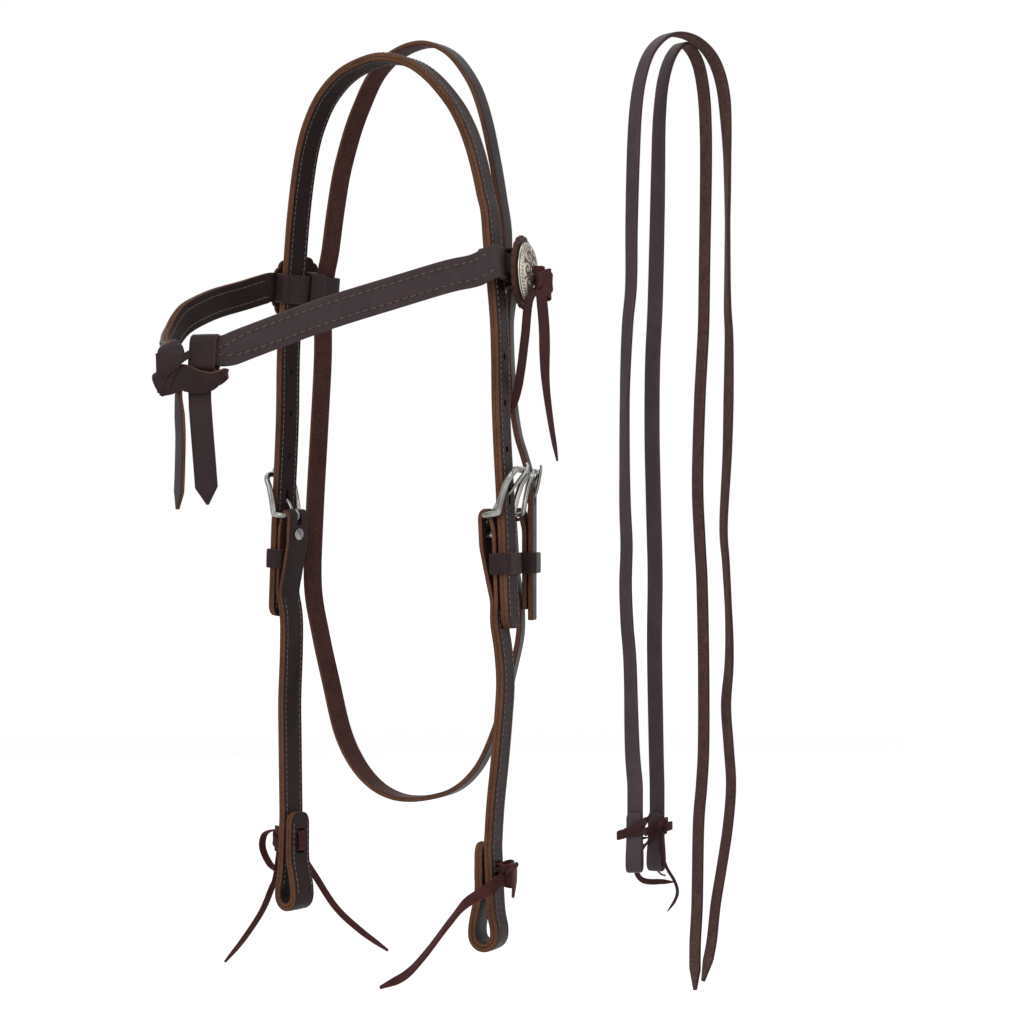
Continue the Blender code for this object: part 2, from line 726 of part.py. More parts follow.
def make_throatlatch():
    """One long strap: its lower end folded round the heel bar, the loop, the off side, the arch, the tail."""
    width_way = yaw(throat_near_yaw)
    out = Vector((width_way.y, -width_way.x, 0.0))
    frame = Frame(throat_centre, out, UP)
    half = throat_leather / 2
    bar = frame.moved(out=-throat_heel_inset)
    fold_radius = throat_wire_radius + seat_gap + half
    lap_out = -(2 * half + seat_gap)
    keeper_room = keeper_wall + 2 * keeper_gap
    main_out = lap_out - throat_leather - keeper_room
    low = -keeper_drop - keeper_height / 2
    fold = [frame.at(lap_out, 0.0, -throat_lap_drop), frame.at(lap_out, 0.0, low),
            frame.at(lap_out, 0.0, -spread_drop), bar.at(fold_radius, 0.0, -throat_leather)]
    fold_steps = 10
    for step in range(fold_steps + 1):
        angle = math.pi * step / fold_steps
        fold.append(bar.at(fold_radius * math.cos(angle), 0.0, fold_radius * math.sin(angle)))
    fold += [bar.at(-fold_radius, 0.0, -fold_radius), frame.at(main_out - ply_gap, 0.0, low)]
    lap_end = frame.at(lap_out - throat_leather - ply_gap, 0.0, -throat_lap_drop + ply)
    loop = [lap_end, frame.at(lap_out - throat_leather - ply_gap, 0.0, -throat_lap_drop - throat_width)]
    loop += [place(*shares) for shares in reversed(throat_off_shares)]
    spot_off = crown.at_height(-loop_drop, off)
    spot_near = crown.at_height(-loop_drop, near)
    arch = []
    for spread, drop in throat_arch_shares:
        reach = np.interp(spread, (-0.9, 0.75), (throat_off_reach_share, throat_near_reach_share))
        arch.append(place(spread, reach, drop))
    through = []
    for rise_step in (-brow_width * 0.6, 0.0, brow_width * 0.6):
        through.append(spot_off.at(0.0, -off_loop_spacing, rise_step))
    down = []
    for rise_step, lean in ((brow_width * 0.6, -1.1), (0.0, -0.3), (-brow_width * 0.6, 0.2)):
        down.append(spot_near.at(lean * running_gap, near_loop_spacing, rise_step))
    tail = [place(*shares) for shares in reversed(throat_lean_shares)]
    tail += [frame.at(), frame.at(0.0, 0.0, -keeper_drop), frame.at(0.0, 0.0, -throat_tail_drop)]
    run = loop + through + arch + down + tail
    curve = smooth(run, 6)
    path = np.vstack([[tuple(point) for point in fold], curve])
    turns = []
    for x, z in path[:, (0, 2)]:
        share = min(max((x / half_spread + 0.6) / 1.4, 0.0), 1.0)
        turns.append(throat_near_yaw * share if z < -loop_drop - brow_width else near_yaw * share)
    turns = np.convolve(np.pad(turns, 4, mode="edge"), np.ones(9) / 9, mode="valid")
    turns[:len(fold) + 2] = throat_near_yaw
    full = Track(path, [yaw(turn) for turn in turns])
    rest = Track(full.points[len(fold):], full.sides[len(fold):])
    keep = list(range(len(fold))) + [len(fold) + k for k in rest.kept(longest_step, 18.0)]
    stations = Track(full.points[keep], full.sides[keep])
    widths = tapered(stations.points, throat_width, tip_table(tip_length * 0.4), tip_table(tip_length * 0.4))
    strap = ribbon("throatlatch_strap", stations.points, stations.sides, widths, throat_leather, flesh_leather)
    slot = block("throat_fold_slot", bar.moved(up=-half / 2),
                 (4 * fold_radius, 2 * throat_tongue_radius + 4 * ply_gap, 2 * fold_radius + 2 * throat_leather))
    hole = block("throat_tongue_hole", frame.moved(up=tongue_hole_rise),
                 (4 * throat_leather, 2 * throat_tongue_radius + 2 * ply_gap, tongue_slot_length))
    cut(strap, slot, hole)
    half_width = throat_width / 2 + buckle_side_gap + throat_wire_radius
    buckle_wire("throat_buckle_frame", frame, half_width, buckle_height, -throat_heel_inset, throat_toe_stand,
                throat_wire_radius)
    tongue = buckle_tongue("throat_buckle_tongue", frame, throat_tongue_radius, throat_wire_radius,
                           -throat_heel_inset, throat_toe_stand, buckle_height, throat_leather)
    hinge("throat_tongue_swing", frame.moved(out=-throat_heel_inset), [tongue])
    keep_frame = frame.moved(up=-keeper_drop)
    ring = keeper("throat_keeper", keep_frame, lap_out - half, half, throat_width / 2)
    hinge("throat_keeper_slide", keep_frame, [ring])
    return strap


throat_tail_drop = 66.0 * mm


# Browband: a loop round each cheek and the throatlatch, cinched behind the rosette

def loop_frame(side):
    """The frame of a loop: at() takes a place behind the cheek through behind()."""
    return crown.at_height(-loop_drop, side)


def behind(frame, side, out, back, up=0.0):
    return frame.at(out, back * side, up)


loop_half_depth = doubled / 2 + running_gap
loop_wall = brow_ply
loop_face = loop_half_depth + loop_wall
cinch_inner = loop_face + ply_gap + lace_room
cinch_face = cinch_inner + keeper_wall
rosette_inner = cinch_face + seat_gap
concho_base = rosette_inner + rosette_leather + seat_gap


def browband_loop(side):
    frame = loop_frame(side)
    spacing = near_loop_spacing if side == near else off_loop_spacing
    front = -cheek_width / 2 - running_gap
    rear = spacing + throat_width / 2 + running_gap
    middle = (front + rear) / 2
    outline = rounded_outline(loop_half_depth + loop_wall / 2, (rear - front) / 2 + loop_wall / 2, loop_corner)
    rings = [[behind(frame, side, out, middle + back * side, up) for out, back in outline]
             for up in (-brow_width / 2, brow_width / 2)]
    loop = band(side_name[side] + "_browband_loop", rings, loop_wall, dark_leather)
    place_back = near_cinch_place if side == near else off_cinch_place
    width = near_cinch_width if side == near else off_cinch_width
    low_out = -loop_face - keeper_gap
    half_out = (cinch_inner - low_out) / 2 + keeper_wall / 2
    half_up = brow_width / 2 + keeper_gap + keeper_wall / 2
    outline = rounded_outline(half_out, half_up, keeper_wall)
    rings = [[behind(frame, side, (cinch_inner + low_out) / 2 + out, place_back + back, up) for out, up in outline]
             for back in (-width / 2, width / 2)]
    cinch = band(side_name[side] + "_loop_keeper", rings, keeper_wall, dark_leather)
    disc = frame.moved(side=place_back * side)
    rosette = scalloped_disc(side_name[side] + "_rosette", disc)
    rise, base = concho_rise, concho_base
    outer = [(math.cos(angle) * concho_radius, base + concho_wall * 0.5 + (rise - concho_wall * 0.5)
              * math.sin(angle)) for angle in (0.0, 0.35, 0.7, 1.1, math.pi / 2)]
    inner = [(radius * 0.93, height - concho_wall) for radius, height in outer[1:]]
    profile = [(0.0, inner[-1][1])] + inner[-2::-1] + [(concho_radius * 0.93, base)]
    profile += [(concho_radius, base)] + outer[:-1] + [(0.0, outer[-1][1])]
    concho = turned(side_name[side] + "_concho", disc, profile, silver, 20)
    for shift in (-lace_slot_spread, lace_slot_spread):
        through = disc.moved(out=cinch_inner + concho_base / 2, side=shift)
        size = (concho_base * 1.6, lace_slot_width, lace_slot_length)
        for piece in (cinch, rosette, concho):
            cut(piece, block(side_name[side] + "_lace_slot", through, size))
    return [loop, cinch, rosette, concho]


def scalloped_disc(name, frame):
    """A leather disc with a scalloped edge."""
    form = bmesh.new()
    ring = []
    for k in range(scallop_count * 3):
        angle = 2 * math.pi * k / (scallop_count * 3)
        reach = rosette_radius - scallop_depth * (1.0 if k % 3 == 0 else 0.0)
        ring.append(form.verts.new(frame.at(rosette_inner, reach * math.cos(angle), reach * math.sin(angle))))
    form.faces.new(ring)
    drawn = bmesh.ops.extrude_face_region(form, geom=list(form.faces))["geom"]
    bmesh.ops.translate(form, vec=frame.out * rosette_leather,
                        verts=[item for item in drawn if isinstance(item, bmesh.types.BMVert)])
    bmesh.ops.recalc_face_normals(form, faces=form.faces)
    mesh = bpy.data.meshes.new(name)
    form.to_mesh(mesh)
    form.free()
    return add(name, mesh, dark_leather)


def knot_barrel(name, frame, radius, half):
    """A tied knot as three turns of lace, drawn as one turned piece along the frame's vertical."""
    tipped = Frame(frame.origin, frame.up * -1, frame.out)
    profile = [(0.0, half)]
    for turn in range(3):
        high = half - turn * 2 * half / 3
        profile += [(radius * 0.84, high - half * 0.04), (radius, high - half * 0.2),
                    (radius, high - half * 0.46), (radius * 0.84, high - half * 0.62)]
    profile.append((0.0, -half))
    return turned(name, tipped, profile, latigo, 8)


def strip(name, places, hints, width, thickness, finish, end_shares=None, per_span=4, turn=16.0):
    """A plain strip through a table of places, with a width direction at each."""
    path = smooth(places, per_span)
    spots = np.linspace(0.0, len(places) - 1, len(path))
    rows = np.array([tuple(hint) for hint in hints], float)
    ways = np.column_stack([np.interp(spots, range(len(rows)), rows[:, k]) for k in range(3)])
    stations = Track(path, ways).thinned(longest_step, turn)
    widths = tapered(stations.points, width, None, end_shares)
    return ribbon(name, stations.points, stations.sides, widths, thickness, finish, rounded=False)


# Tails of the concho laces, shares of spread, reach and drop
near_tail_a_shares = ((1.050, 0.094, 0.284), (1.006, 0.097, 0.326), (0.976, 0.095, 0.362), (0.921, 0.100, 0.395),
                      (0.900, 0.070, 0.416))
near_tail_b_shares = ((1.098, 0.122, 0.280), (1.104, 0.132, 0.320), (1.108, 0.135, 0.372), (1.140, 0.140, 0.418),
                      (1.210, 0.131, 0.463))
off_tail_a_shares = ((-1.130, 0.100, 0.284), (-1.130, 0.112, 0.330), (-1.130, 0.118, 0.380),
                     (-1.130, 0.120, 0.440))
off_tail_b_shares = ((-1.160, 0.125, 0.280), (-1.180, 0.135, 0.320), (-1.180, 0.140, 0.380),
                     (-1.170, 0.140, 0.420))
lace_point = 20.0 * mm
pointed = [(0.0, 0.25), (lace_point * 0.45, 0.8), (lace_point, 1.0)]


def concho_lace(side):
    """One lace: out through the slots, knotted over the dome, with two tails."""
    frame = loop_frame(side)
    place_back = near_cinch_place if side == near else off_cinch_place
    disc = frame.moved(side=place_back * side)
    name = side_name[side] + "_concho_lace"
    front = concho_base + concho_rise + seat_gap + lace_leather / 2
    rear = loop_face + (ply_gap + lace_room) / 2
    spread = lace_slot_spread
    knot_out = front + concho_lace_width * 0.62
    half_run = [(knot_out, spread * 0.5), (front, spread), ((front + rear) / 2, spread), (rear, spread)]
    spots = [disc.at(out, -aside) for out, aside in half_run]
    spots += [disc.at(out, aside) for out, aside in reversed(half_run)]
    lace = strip(name, spots, [frame.up] * len(spots), concho_lace_width, lace_leather, latigo, None, 1, 1.0)
    knot = disc.moved(out=knot_out, up=-concho_lace_width * 0.6)
    parts = [knot_barrel(name + "_knot", knot, concho_lace_width * 0.72, concho_lace_width * 1.05)]
    tables = (near_tail_a_shares, near_tail_b_shares) if side == near else (off_tail_a_shares, off_tail_b_shares)
    for letter, table in zip("ab", tables):
        places = [knot.at(0.0, 0.0, -concho_lace_width * 0.3)] + [place(*shares) for shares in table]
        parts.append(strip(name + "_tail_" + letter, places, [frame.side] * len(places), concho_lace_width * 0.72,
                           lace_leather, latigo, pointed))
    fuse(lace, *parts)
    return lace


# Arms of the browband: places from the loops to the knot
near_arm_shares = ((0.957, -0.115, 0.2575), (0.884, -0.200, 0.2643), (0.735, -0.373, 0.2832),
                   (0.543, -0.596, 0.3085), (0.337, -0.836, 0.3405), (0.292, -0.890, 0.348))
off_arm_shares = ((-0.972, -0.220, 0.261), (-0.890, -0.395, 0.275), (-0.755, -0.570, 0.293),
                  (-0.680, -0.652, 0.306), (-0.575, -0.740, 0.325), (-0.420, -0.832, 0.338),
                  (-0.220, -0.925, 0.346), (-0.080, -0.975, 0.349))
arm_taper = 20.0 * mm
arm_end_table = [(0.0, 0.66), (arm_taper * 0.7, 0.98), (arm_taper, 1.0)]


def browband_arm(side):
    """The doubled arm: its outer ply runs over the loop, its lining starts in front of the loop."""
    frame = loop_frame(side)
    label = side_name[side]
    centre = loop_face + lap_gap - ply_gap / 2
    front = -cheek_width / 2 - running_gap - loop_wall
    start = [behind(frame, side, centre, back) for back in
             (-cheek_width * 0.2, front * 0.75, front - brow_ply)]
    table = near_arm_shares if side == near else off_arm_shares
    path = smooth(start + [place(*shares) for shares in table], 8)
    lean = np.clip(np.arange(len(path)) / 24 - 0.5, 0.0, 1.0)
    ways = [(frame.up * (1 - part) + UP * part) * -side for part in lean]
    centre_track = Track(path, ways).thinned()
    pieces = []
    for ply_name, shift in (("outer", 1), ("lining", -1)):
        points = centre_track.offset(shift * (brow_ply + ply_gap) / 2)
        sides = centre_track.sides
        if shift < 0:
            ahead = [k for k in range(len(points))
                     if (Vector(points[k]) - frame.origin).dot(frame.side) * side < front - brow_width * 0.3]
            points, sides = points[ahead[0]:], sides[ahead[0]:]
        widths = tapered(points, brow_width, None, arm_end_table)
        finish = dark_leather if shift > 0 else lining_leather
        pieces.append(ribbon("browband_" + label + "_" + ply_name, points, sides, widths, brow_ply, finish))
    return pieces


# The knot: frame along the brow, x points forward, y along it toward the near side
knot_place = place(0.182, -0.969, 0.3835)
upper_wrap_along = 5.0 * mm
upper_wrap_rise = 15.6 * mm
upper_wrap_width = 15.4 * mm
upper_wrap_depth = 9.8 * mm
upper_wrap_height = 17.4 * mm
lower_wrap_length = 38.0 * mm
lower_wrap_depth = 9.6 * mm
lower_wrap_height = 14.0 * mm
knot_leather = 2.1 * mm
side_band_width = 11.0 * mm
tail_width = 12.0 * mm
# (forward, along, up) in shares of the lower wrap's height
side_band_shares = ((-0.28, -1.13, 1.42), (0.10, -1.13, 1.54), (0.40, -1.13, 1.32), (0.47, -1.13, 0.85),
                    (0.46, -1.13, 0.0), (0.46, -1.13, -0.48))
cross_strip_shares = ((0.66, -1.36, 0.28), (0.68, -0.80, 0.60), (0.66, -0.24, 0.94))
right_tail_shares = ((0.0, 0.30, 0.40), (0.0, 0.30, -0.55), (0.06, 0.34, -1.40), (0.12, 0.46, -3.20),
                     (0.10, 0.52, -4.55))
left_tail_shares = ((0.0, -0.62, 0.40), (0.0, -0.62, -0.50), (0.10, -0.60, -1.30), (0.16, -0.52, -3.00),
                    (0.12, -0.62, -4.72))
knot_point = 9.0 * mm
point_table = [(0.0, 0.12), (knot_point, 1.0), (knot_point * 4 / 3, 1.0)]


def make_knot():
    turn = math.radians(knot_yaw)
    forward = Vector((math.sin(turn), -math.cos(turn), 0.0))
    frame = Frame(knot_place, forward, UP)
    unit_size = lower_wrap_height

    def spots(table):
        return [frame.at(out * unit_size, along * unit_size, up * unit_size) for out, along, up in table]

    half_x = (lower_wrap_depth - knot_leather) / 2
    half_y = (lower_wrap_length - knot_leather) / 2
    outline = rounded_outline(half_x, half_y, half_x * 0.9)
    rings = [[frame.at(out, along, up) for out, along in outline]
             for up in (-lower_wrap_height / 2, lower_wrap_height / 2)]
    pieces = [band("knot_lower_wrap", rings, knot_leather, dark_leather, True)]
    upper = frame.moved(side=upper_wrap_along, up=upper_wrap_rise)
    half_x = (upper_wrap_depth - knot_leather) / 2
    half_z = (upper_wrap_height - knot_leather) / 2
    outline = rounded_outline(half_x, half_z, half_x * 0.8)
    rings = [[upper.at(out, along, up) for out, up in outline]
             for along in (-upper_wrap_width / 2, upper_wrap_width / 2)]
    pieces.append(band("knot_upper_wrap", rings, knot_leather, dark_leather, True))
    along_way = frame.side
    pieces.append(strip("knot_side_band", spots(side_band_shares), [along_way] * len(side_band_shares),
                        side_band_width, knot_leather, dark_leather))
    pieces.append(strip("knot_cross_strip", spots(cross_strip_shares),
                        [UP * 0.8 - along_way * 0.4] * len(cross_strip_shares),
                        side_band_width * 0.5, knot_leather * 0.7, dark_leather))
    pieces.append(strip("knot_right_tail", spots(right_tail_shares), [along_way] * 2 + [
        along_way - forward * 0.15] * 3, tail_width, knot_leather, dark_leather, point_table))
    edge_on = forward + along_way * 0.65
    pieces.append(strip("knot_left_tail", spots(left_tail_shares),
                        [along_way, along_way, edge_on, edge_on, edge_on],
                        tail_width, knot_leather, dark_leather, point_table))
    return pieces


# Bit laces: tails in shares of spread, reach and drop
near_bit_tail_shares = ((1.050, -0.095, 0.924), (0.997, -0.178, 0.938), (0.936, -0.224, 0.959),
                        (0.831, -0.282, 0.995), (0.743, -0.326, 1.018), (0.638, -0.385, 1.032))
near_bit_stub_shares = ((1.105, -0.020, 0.900), (1.100, -0.012, 0.918), (1.085, -0.010, 0.936))
off_bit_tail_shares = ((-1.025, 0.085, 0.936), (-0.985, 0.136, 0.960), (-0.876, 0.194, 1.001),
                       (-0.790, 0.275, 1.030), (-0.687, 0.368, 1.056))
off_bit_other_shares = ((-1.085, 0.000, 0.962), (-1.110, -0.012, 0.978), (-1.160, -0.038, 1.007),
                        (-1.250, -0.088, 1.042), (-1.338, -0.134, 1.069))
off_bit_bow_shares = ((-1.060, -0.012, 0.906), (-1.130, -0.034, 0.911), (-1.150, -0.037, 0.928),
                      (-1.110, -0.022, 0.947), (-1.060, -0.005, 0.955))


def bit_lace(side, frame):
    """One lace: in through both holes, knotted on the outside, with its tails."""
    name = side_name[side] + "_bit_lace"
    half = doubled + ply_gap
    knot_out = half + running_gap + bit_knot_radius
    strand = half + lap_gap + lace_leather / 2
    rise = lace_hole_spread
    upper_run = [(knot_out, 0.75), (half + lap_gap, 1.0), (0.0, 1.0), (-half, 1.0), (-strand, 0.6)]
    spots = [frame.at(out, 0.0, rise * share) for out, share in upper_run]
    spots += [frame.at(out, 0.0, -rise * share) for out, share in reversed(upper_run)]
    lace = strip(name, spots, [frame.side] * len(spots), bit_lace_width, lace_leather, latigo, None, 1, 1.0)
    knot = frame.moved(out=knot_out + ply_gap)
    parts = [knot_barrel(name + "_knot", knot, bit_knot_radius, bit_knot_half)]
    if side == near:
        tables = ((near_bit_tail_shares, 1.35), (near_bit_stub_shares, 1.2))
    else:
        tables = ((off_bit_tail_shares, 1.0), (off_bit_other_shares, 1.0), (off_bit_bow_shares, 1.0))
    for letter, (table, widening) in zip("abc", tables):
        places = [knot.at(0.0, 0.0, 0.0)] + [place(*shares) for shares in table]
        way = frame.side * 0.7 + UP * 0.7 if side == near and letter == "a" else frame.side
        parts.append(strip(name + "_tail_" + letter, places, [way] * len(places), bit_lace_width * widening,
                           lace_leather, latigo, None if letter == "c" else pointed))
    fuse(lace, *parts)
    return lace


# Reins: (share of half_spread across the hook, share of head_length down), from the bit end to the tip
rein_one_shares = ((-0.390, 0.827), (-0.414, 0.782), (-0.430, 0.691), (-0.454, 0.646), (-0.466, 0.601),
                   (-0.458, 0.556), (-0.470, 0.511), (-0.474, 0.444), (-0.470, 0.376), (-0.450, 0.308),
                   (-0.422, 0.263), (-0.418, 0.195), (-0.405, 0.120), (-0.385, 0.065), (-0.344, 0.026),
                   (-0.270, -0.004), (-0.150, -0.024), (-0.009, -0.030), (0.140, -0.024), (0.262, -0.006),
                   (0.335, 0.025), (0.364, 0.070), (0.374, 0.130), (0.374, 0.200), (0.374, 0.276),
                   (0.387, 0.323), (0.374, 0.440), (0.340, 0.534), (0.361, 0.581), (0.387, 0.651),
                   (0.387, 0.698), (0.361, 0.745), (0.383, 0.792), (0.404, 0.839), (0.378, 0.886),
                   (0.327, 0.932), (0.272, 0.977), (0.234, 1.023), (0.166, 1.063))
rein_two_shares = ((-0.115, 0.833), (-0.123, 0.787), (-0.136, 0.672), (-0.131, 0.591), (-0.144, 0.511),
                   (-0.156, 0.430), (-0.152, 0.350), (-0.131, 0.281), (-0.115, 0.189), (-0.106, 0.120),
                   (-0.098, 0.070), (-0.072, 0.028), (-0.020, -0.002), (0.050, -0.020), (0.108, -0.025),
                   (0.166, -0.020), (0.230, -0.004), (0.272, 0.026), (0.290, 0.065), (0.293, 0.120),
                   (0.281, 0.229), (0.273, 0.300), (0.256, 0.347), (0.239, 0.394), (0.222, 0.487),
                   (0.243, 0.558), (0.260, 0.604), (0.273, 0.698), (0.273, 0.792), (0.256, 0.839),
                   (0.230, 0.885), (0.218, 0.978), (0.201, 1.025), (0.201, 1.077))
# Twist of each leg in degrees at shares of the drop: the leg with the bit end, then the free leg
rein_one_twists = (((0.0, 0.0), (0.11, -5.0), (0.23, 3.0), (0.32, 8.0), (0.39, 16.0), (0.47, 12.0), (0.53, 4.0),
                    (0.62, -2.0), (0.72, -6.0), (0.79, -20.0), (0.84, -38.0)),
                   ((0.04, 0.0), (0.10, 25.0), (0.18, 38.0), (0.25, 33.0), (0.33, 20.0), (0.39, 14.0),
                    (0.50, 22.0), (0.63, 30.0), (0.74, 14.0), (0.82, 14.0)))
rein_two_twists = (((0.04, 0.0), (0.16, -20.0), (0.24, -27.0), (0.70, -27.0), (0.80, -22.0)),
                   ((0.04, 0.0), (0.20, 6.0)))


def rein(name, table, twists, spread, lean):
    """A rein over the hook, folded back on itself at the bit end."""
    path = smooth([Vector((spread, rein_reach + half_spread * across, -head_length * drop))
                   for across, drop in table], 6)
    top = int(np.argmax(path[:, 2]))
    ways = []
    for k, point in enumerate(path):
        drops, turns = zip(*twists[0 if k < top else 1])
        turn = math.radians(np.interp(-point[2] / head_length, drops, turns))
        ways.append(Vector((math.cos(turn), -math.sin(turn), 0.0)))
    main = Track(path, ways).thinned()
    way = Vector(main.sides[0])
    out = UP.cross(way) * lean
    end = Vector(main.points[0])
    leg_gap = rein_leather / 2 + ply_gap / 2
    centre = Frame(end + out * leg_gap - UP * rein_hang, out, UP)
    legs = [centre.at(-leg_gap, 0.0, rein_loop_rise), centre.at(-rein_loop_radius * 0.9, 0.0, rein_loop_rise * 0.35)]
    loop_steps = 10
    for step in range(loop_steps + 1):
        angle = math.pi * step / loop_steps
        legs.append(centre.at(-rein_loop_radius * math.cos(angle), 0.0, -rein_loop_radius * math.sin(angle)))
    legs += [centre.at(rein_loop_radius * 0.9, 0.0, rein_loop_rise * 0.35), centre.at(leg_gap, 0.0, rein_loop_rise),
             centre.at(leg_gap, 0.0, rein_fold_back)]
    fold = smooth(legs, 2)[::-1]
    points = np.vstack([fold, main.points])
    sides = np.vstack([np.repeat(np.array([tuple(way)]), len(fold), axis=0), main.sides])
    whole = Track(points, sides).thinned(longest_step, 22.0)
    whole = with_tip(whole, rein_tip_length, False)
    tip_widths = [(rein_tip_length * share, tip) for share, tip in ((0.0, 0.15), (1.0, 1.0), (2.0, 1.0))]
    widths = tapered(whole.points, rein_width, tip_table(tip_length * 0.6), tip_widths)
    piece = ribbon(name, whole.points, whole.sides, widths, rein_leather, dark_leather)
    return piece, centre.moved(up=rein_tie_rise)


# Tails of the rein laces: (across, toward the headstall, down) as shares of spread, spread and drop
rein_one_lace_shares = (((-0.010, -0.110, -0.006), (0.050, -0.110, -0.024), (0.140, -0.080, -0.034)),
                        ((-0.090, -0.100, 0.012), (-0.120, -0.080, 0.026), (-0.150, -0.060, 0.034)))
rein_two_lace_shares = (((-0.070, -0.080, 0.010), (-0.110, -0.075, 0.026), (-0.125, -0.070, 0.046),
                         (-0.080, -0.070, 0.062), (0.030, -0.070, 0.064), (0.120, -0.070, 0.062),
                         (0.150, -0.070, 0.076), (0.090, -0.070, 0.098)),
                        ((-0.050, -0.120, 0.010), (-0.060, -0.120, 0.034), (-0.020, -0.120, 0.058)))


def rein_lace(name, frame, tables):
    """A lace tied round the folded rein end."""
    half_out = rein_leather + ply_gap / 2 + keeper_gap + lace_leather / 2
    half_side = rein_width / 2 + keeper_gap + lace_leather / 2
    outline = rounded_outline(half_out, half_side, lace_leather)
    rings = [[frame.at(out, side, up) for out, side in outline]
             for up in (-rein_lace_width * 0.9, rein_lace_width * 0.9)]
    lace = band(name, rings, lace_leather, latigo)
    parts = []
    for letter, table, lift in zip("ab", tables, (rein_lace_width * 0.45, -rein_lace_width * 0.45)):
        places = [frame.at(0.0, -half_side, lift), frame.at(0.0, -half_side - rein_leather, lift)]
        places += [frame.origin + Vector((half_spread * inward, half_spread * across, -head_length * drop))
                   for across, inward, drop in table]
        ways = [frame.out] * 2 + [frame.out * 0.4 + frame.side] + [frame.side] * (len(places) - 3)
        parts.append(strip(name + "_tail_" + letter, places, ways, rein_lace_width * 0.6,
                           lace_leather * 0.7, latigo, pointed))
    fuse(lace, *parts)
    return lace


make_crown()
for cheek_side in (near, off):
    cheek, lace_place = lower_cheek(cheek_side)
    cheek_buckle(cheek_side)
    bit_lace(cheek_side, lace_place)
make_throatlatch()
brow_pieces = []
for loop_side in (near, off):
    brow_pieces += browband_loop(loop_side)
    brow_pieces += browband_arm(loop_side)
    brow_pieces.append(concho_lace(loop_side))
brow_pieces += make_knot()
hinge("browband_slide", Frame(place(0.0, -0.5, 0.3), Vector((1.0, 0.0, 0.0)), UP), brow_pieces)
rein_pieces = []
rein_table = (("rein_one", rein_one_shares, rein_one_twists, rein_one_spread, -1, rein_one_lace_shares),
              ("rein_two", rein_two_shares, rein_two_twists, rein_two_spread, -1, rein_two_lace_shares))
for rein_name, shares, twists, spread, lean, lace_shares in rein_table:
    strap, tie = rein(rein_name, shares, twists, spread, lean)
    rein_pieces += [strap, rein_lace(rein_name + "_lace", tie, lace_shares)]
rein_hook = Vector((rein_two_spread, rein_reach + rein_balance, 0.0))
hinge("rein_swing", Frame(rein_hook, Vector((1.0, 0.0, 0.0)), UP), rein_pieces)
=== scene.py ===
import math

import bpy
import numpy as np
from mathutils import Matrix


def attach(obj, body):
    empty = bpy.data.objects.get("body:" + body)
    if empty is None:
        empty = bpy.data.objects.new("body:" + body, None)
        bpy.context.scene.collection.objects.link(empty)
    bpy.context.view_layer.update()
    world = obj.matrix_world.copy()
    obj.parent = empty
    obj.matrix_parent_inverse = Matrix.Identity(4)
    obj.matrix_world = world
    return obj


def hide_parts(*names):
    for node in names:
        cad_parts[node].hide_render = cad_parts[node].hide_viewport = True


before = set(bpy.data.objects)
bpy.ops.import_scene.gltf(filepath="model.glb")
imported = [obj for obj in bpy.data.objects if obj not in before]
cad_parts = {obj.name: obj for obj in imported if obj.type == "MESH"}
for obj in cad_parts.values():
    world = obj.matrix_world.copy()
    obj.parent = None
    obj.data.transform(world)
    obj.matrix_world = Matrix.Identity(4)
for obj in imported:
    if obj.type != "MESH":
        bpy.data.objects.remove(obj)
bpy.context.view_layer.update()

# A western headstall with a futurity-knot browband, and split reins over a hook beside it
mm = 0.001
upward = np.array((0.0, 0.0, 1.0))

size = {"halfSpread": 100 * mm, "browReach": 150 * mm, "headLength": 500 * mm, "ply": 2.45 * mm, "plyGap": 0.3 * mm,
        "seatGap": 0.3 * mm, "lapGap": 0.6 * mm, "runningGap": 0.9 * mm, "lace": 1.4 * mm}
size["doubled"] = 2 * size["ply"] + size["plyGap"]

scene = bpy.context.scene
pieceCount = 0


# vectors, curves and frames

def unit(rows):
    return rows / np.linalg.norm(rows, axis=-1, keepdims=True)


def place(spread, reach, drop):
    # a point from shares of the three placing sizes
    return np.array((size["halfSpread"] * spread, size["browReach"] * reach, -size["headLength"] * drop))


def places(table):
    return [place(*row) for row in table]


def yaw(degrees):
    # the width direction of a strap that is turned about the vertical
    turn = math.radians(degrees)
    return np.array((-math.sin(turn), math.cos(turn), 0.0))


def circle(count):
    # angles evenly round a full turn
    return np.linspace(0.0, 2 * math.pi, count, endpoint=False)


def smooth(points, perSpan=10):
    # Catmull-Rom curve: each span is a cubic through its two points with the slope of their neighbours
    rows = np.asarray(points, float)
    padded = np.vstack([2 * rows[0] - rows[1], rows, 2 * rows[-1] - rows[-2]])
    part = np.linspace(0.0, 1.0, perSpan, endpoint=False)[:, None]
    spans = [0.5 * (2 * b + (c - a) * part + (2 * a - 5 * b + 4 * c - d) * part ** 2
                    + (3 * b - a - 3 * c + d) * part ** 3)
             for a, b, c, d in zip(padded[:-3], padded[1:-2], padded[2:-1], padded[3:])]
    return np.vstack(spans + [rows[-1:]])


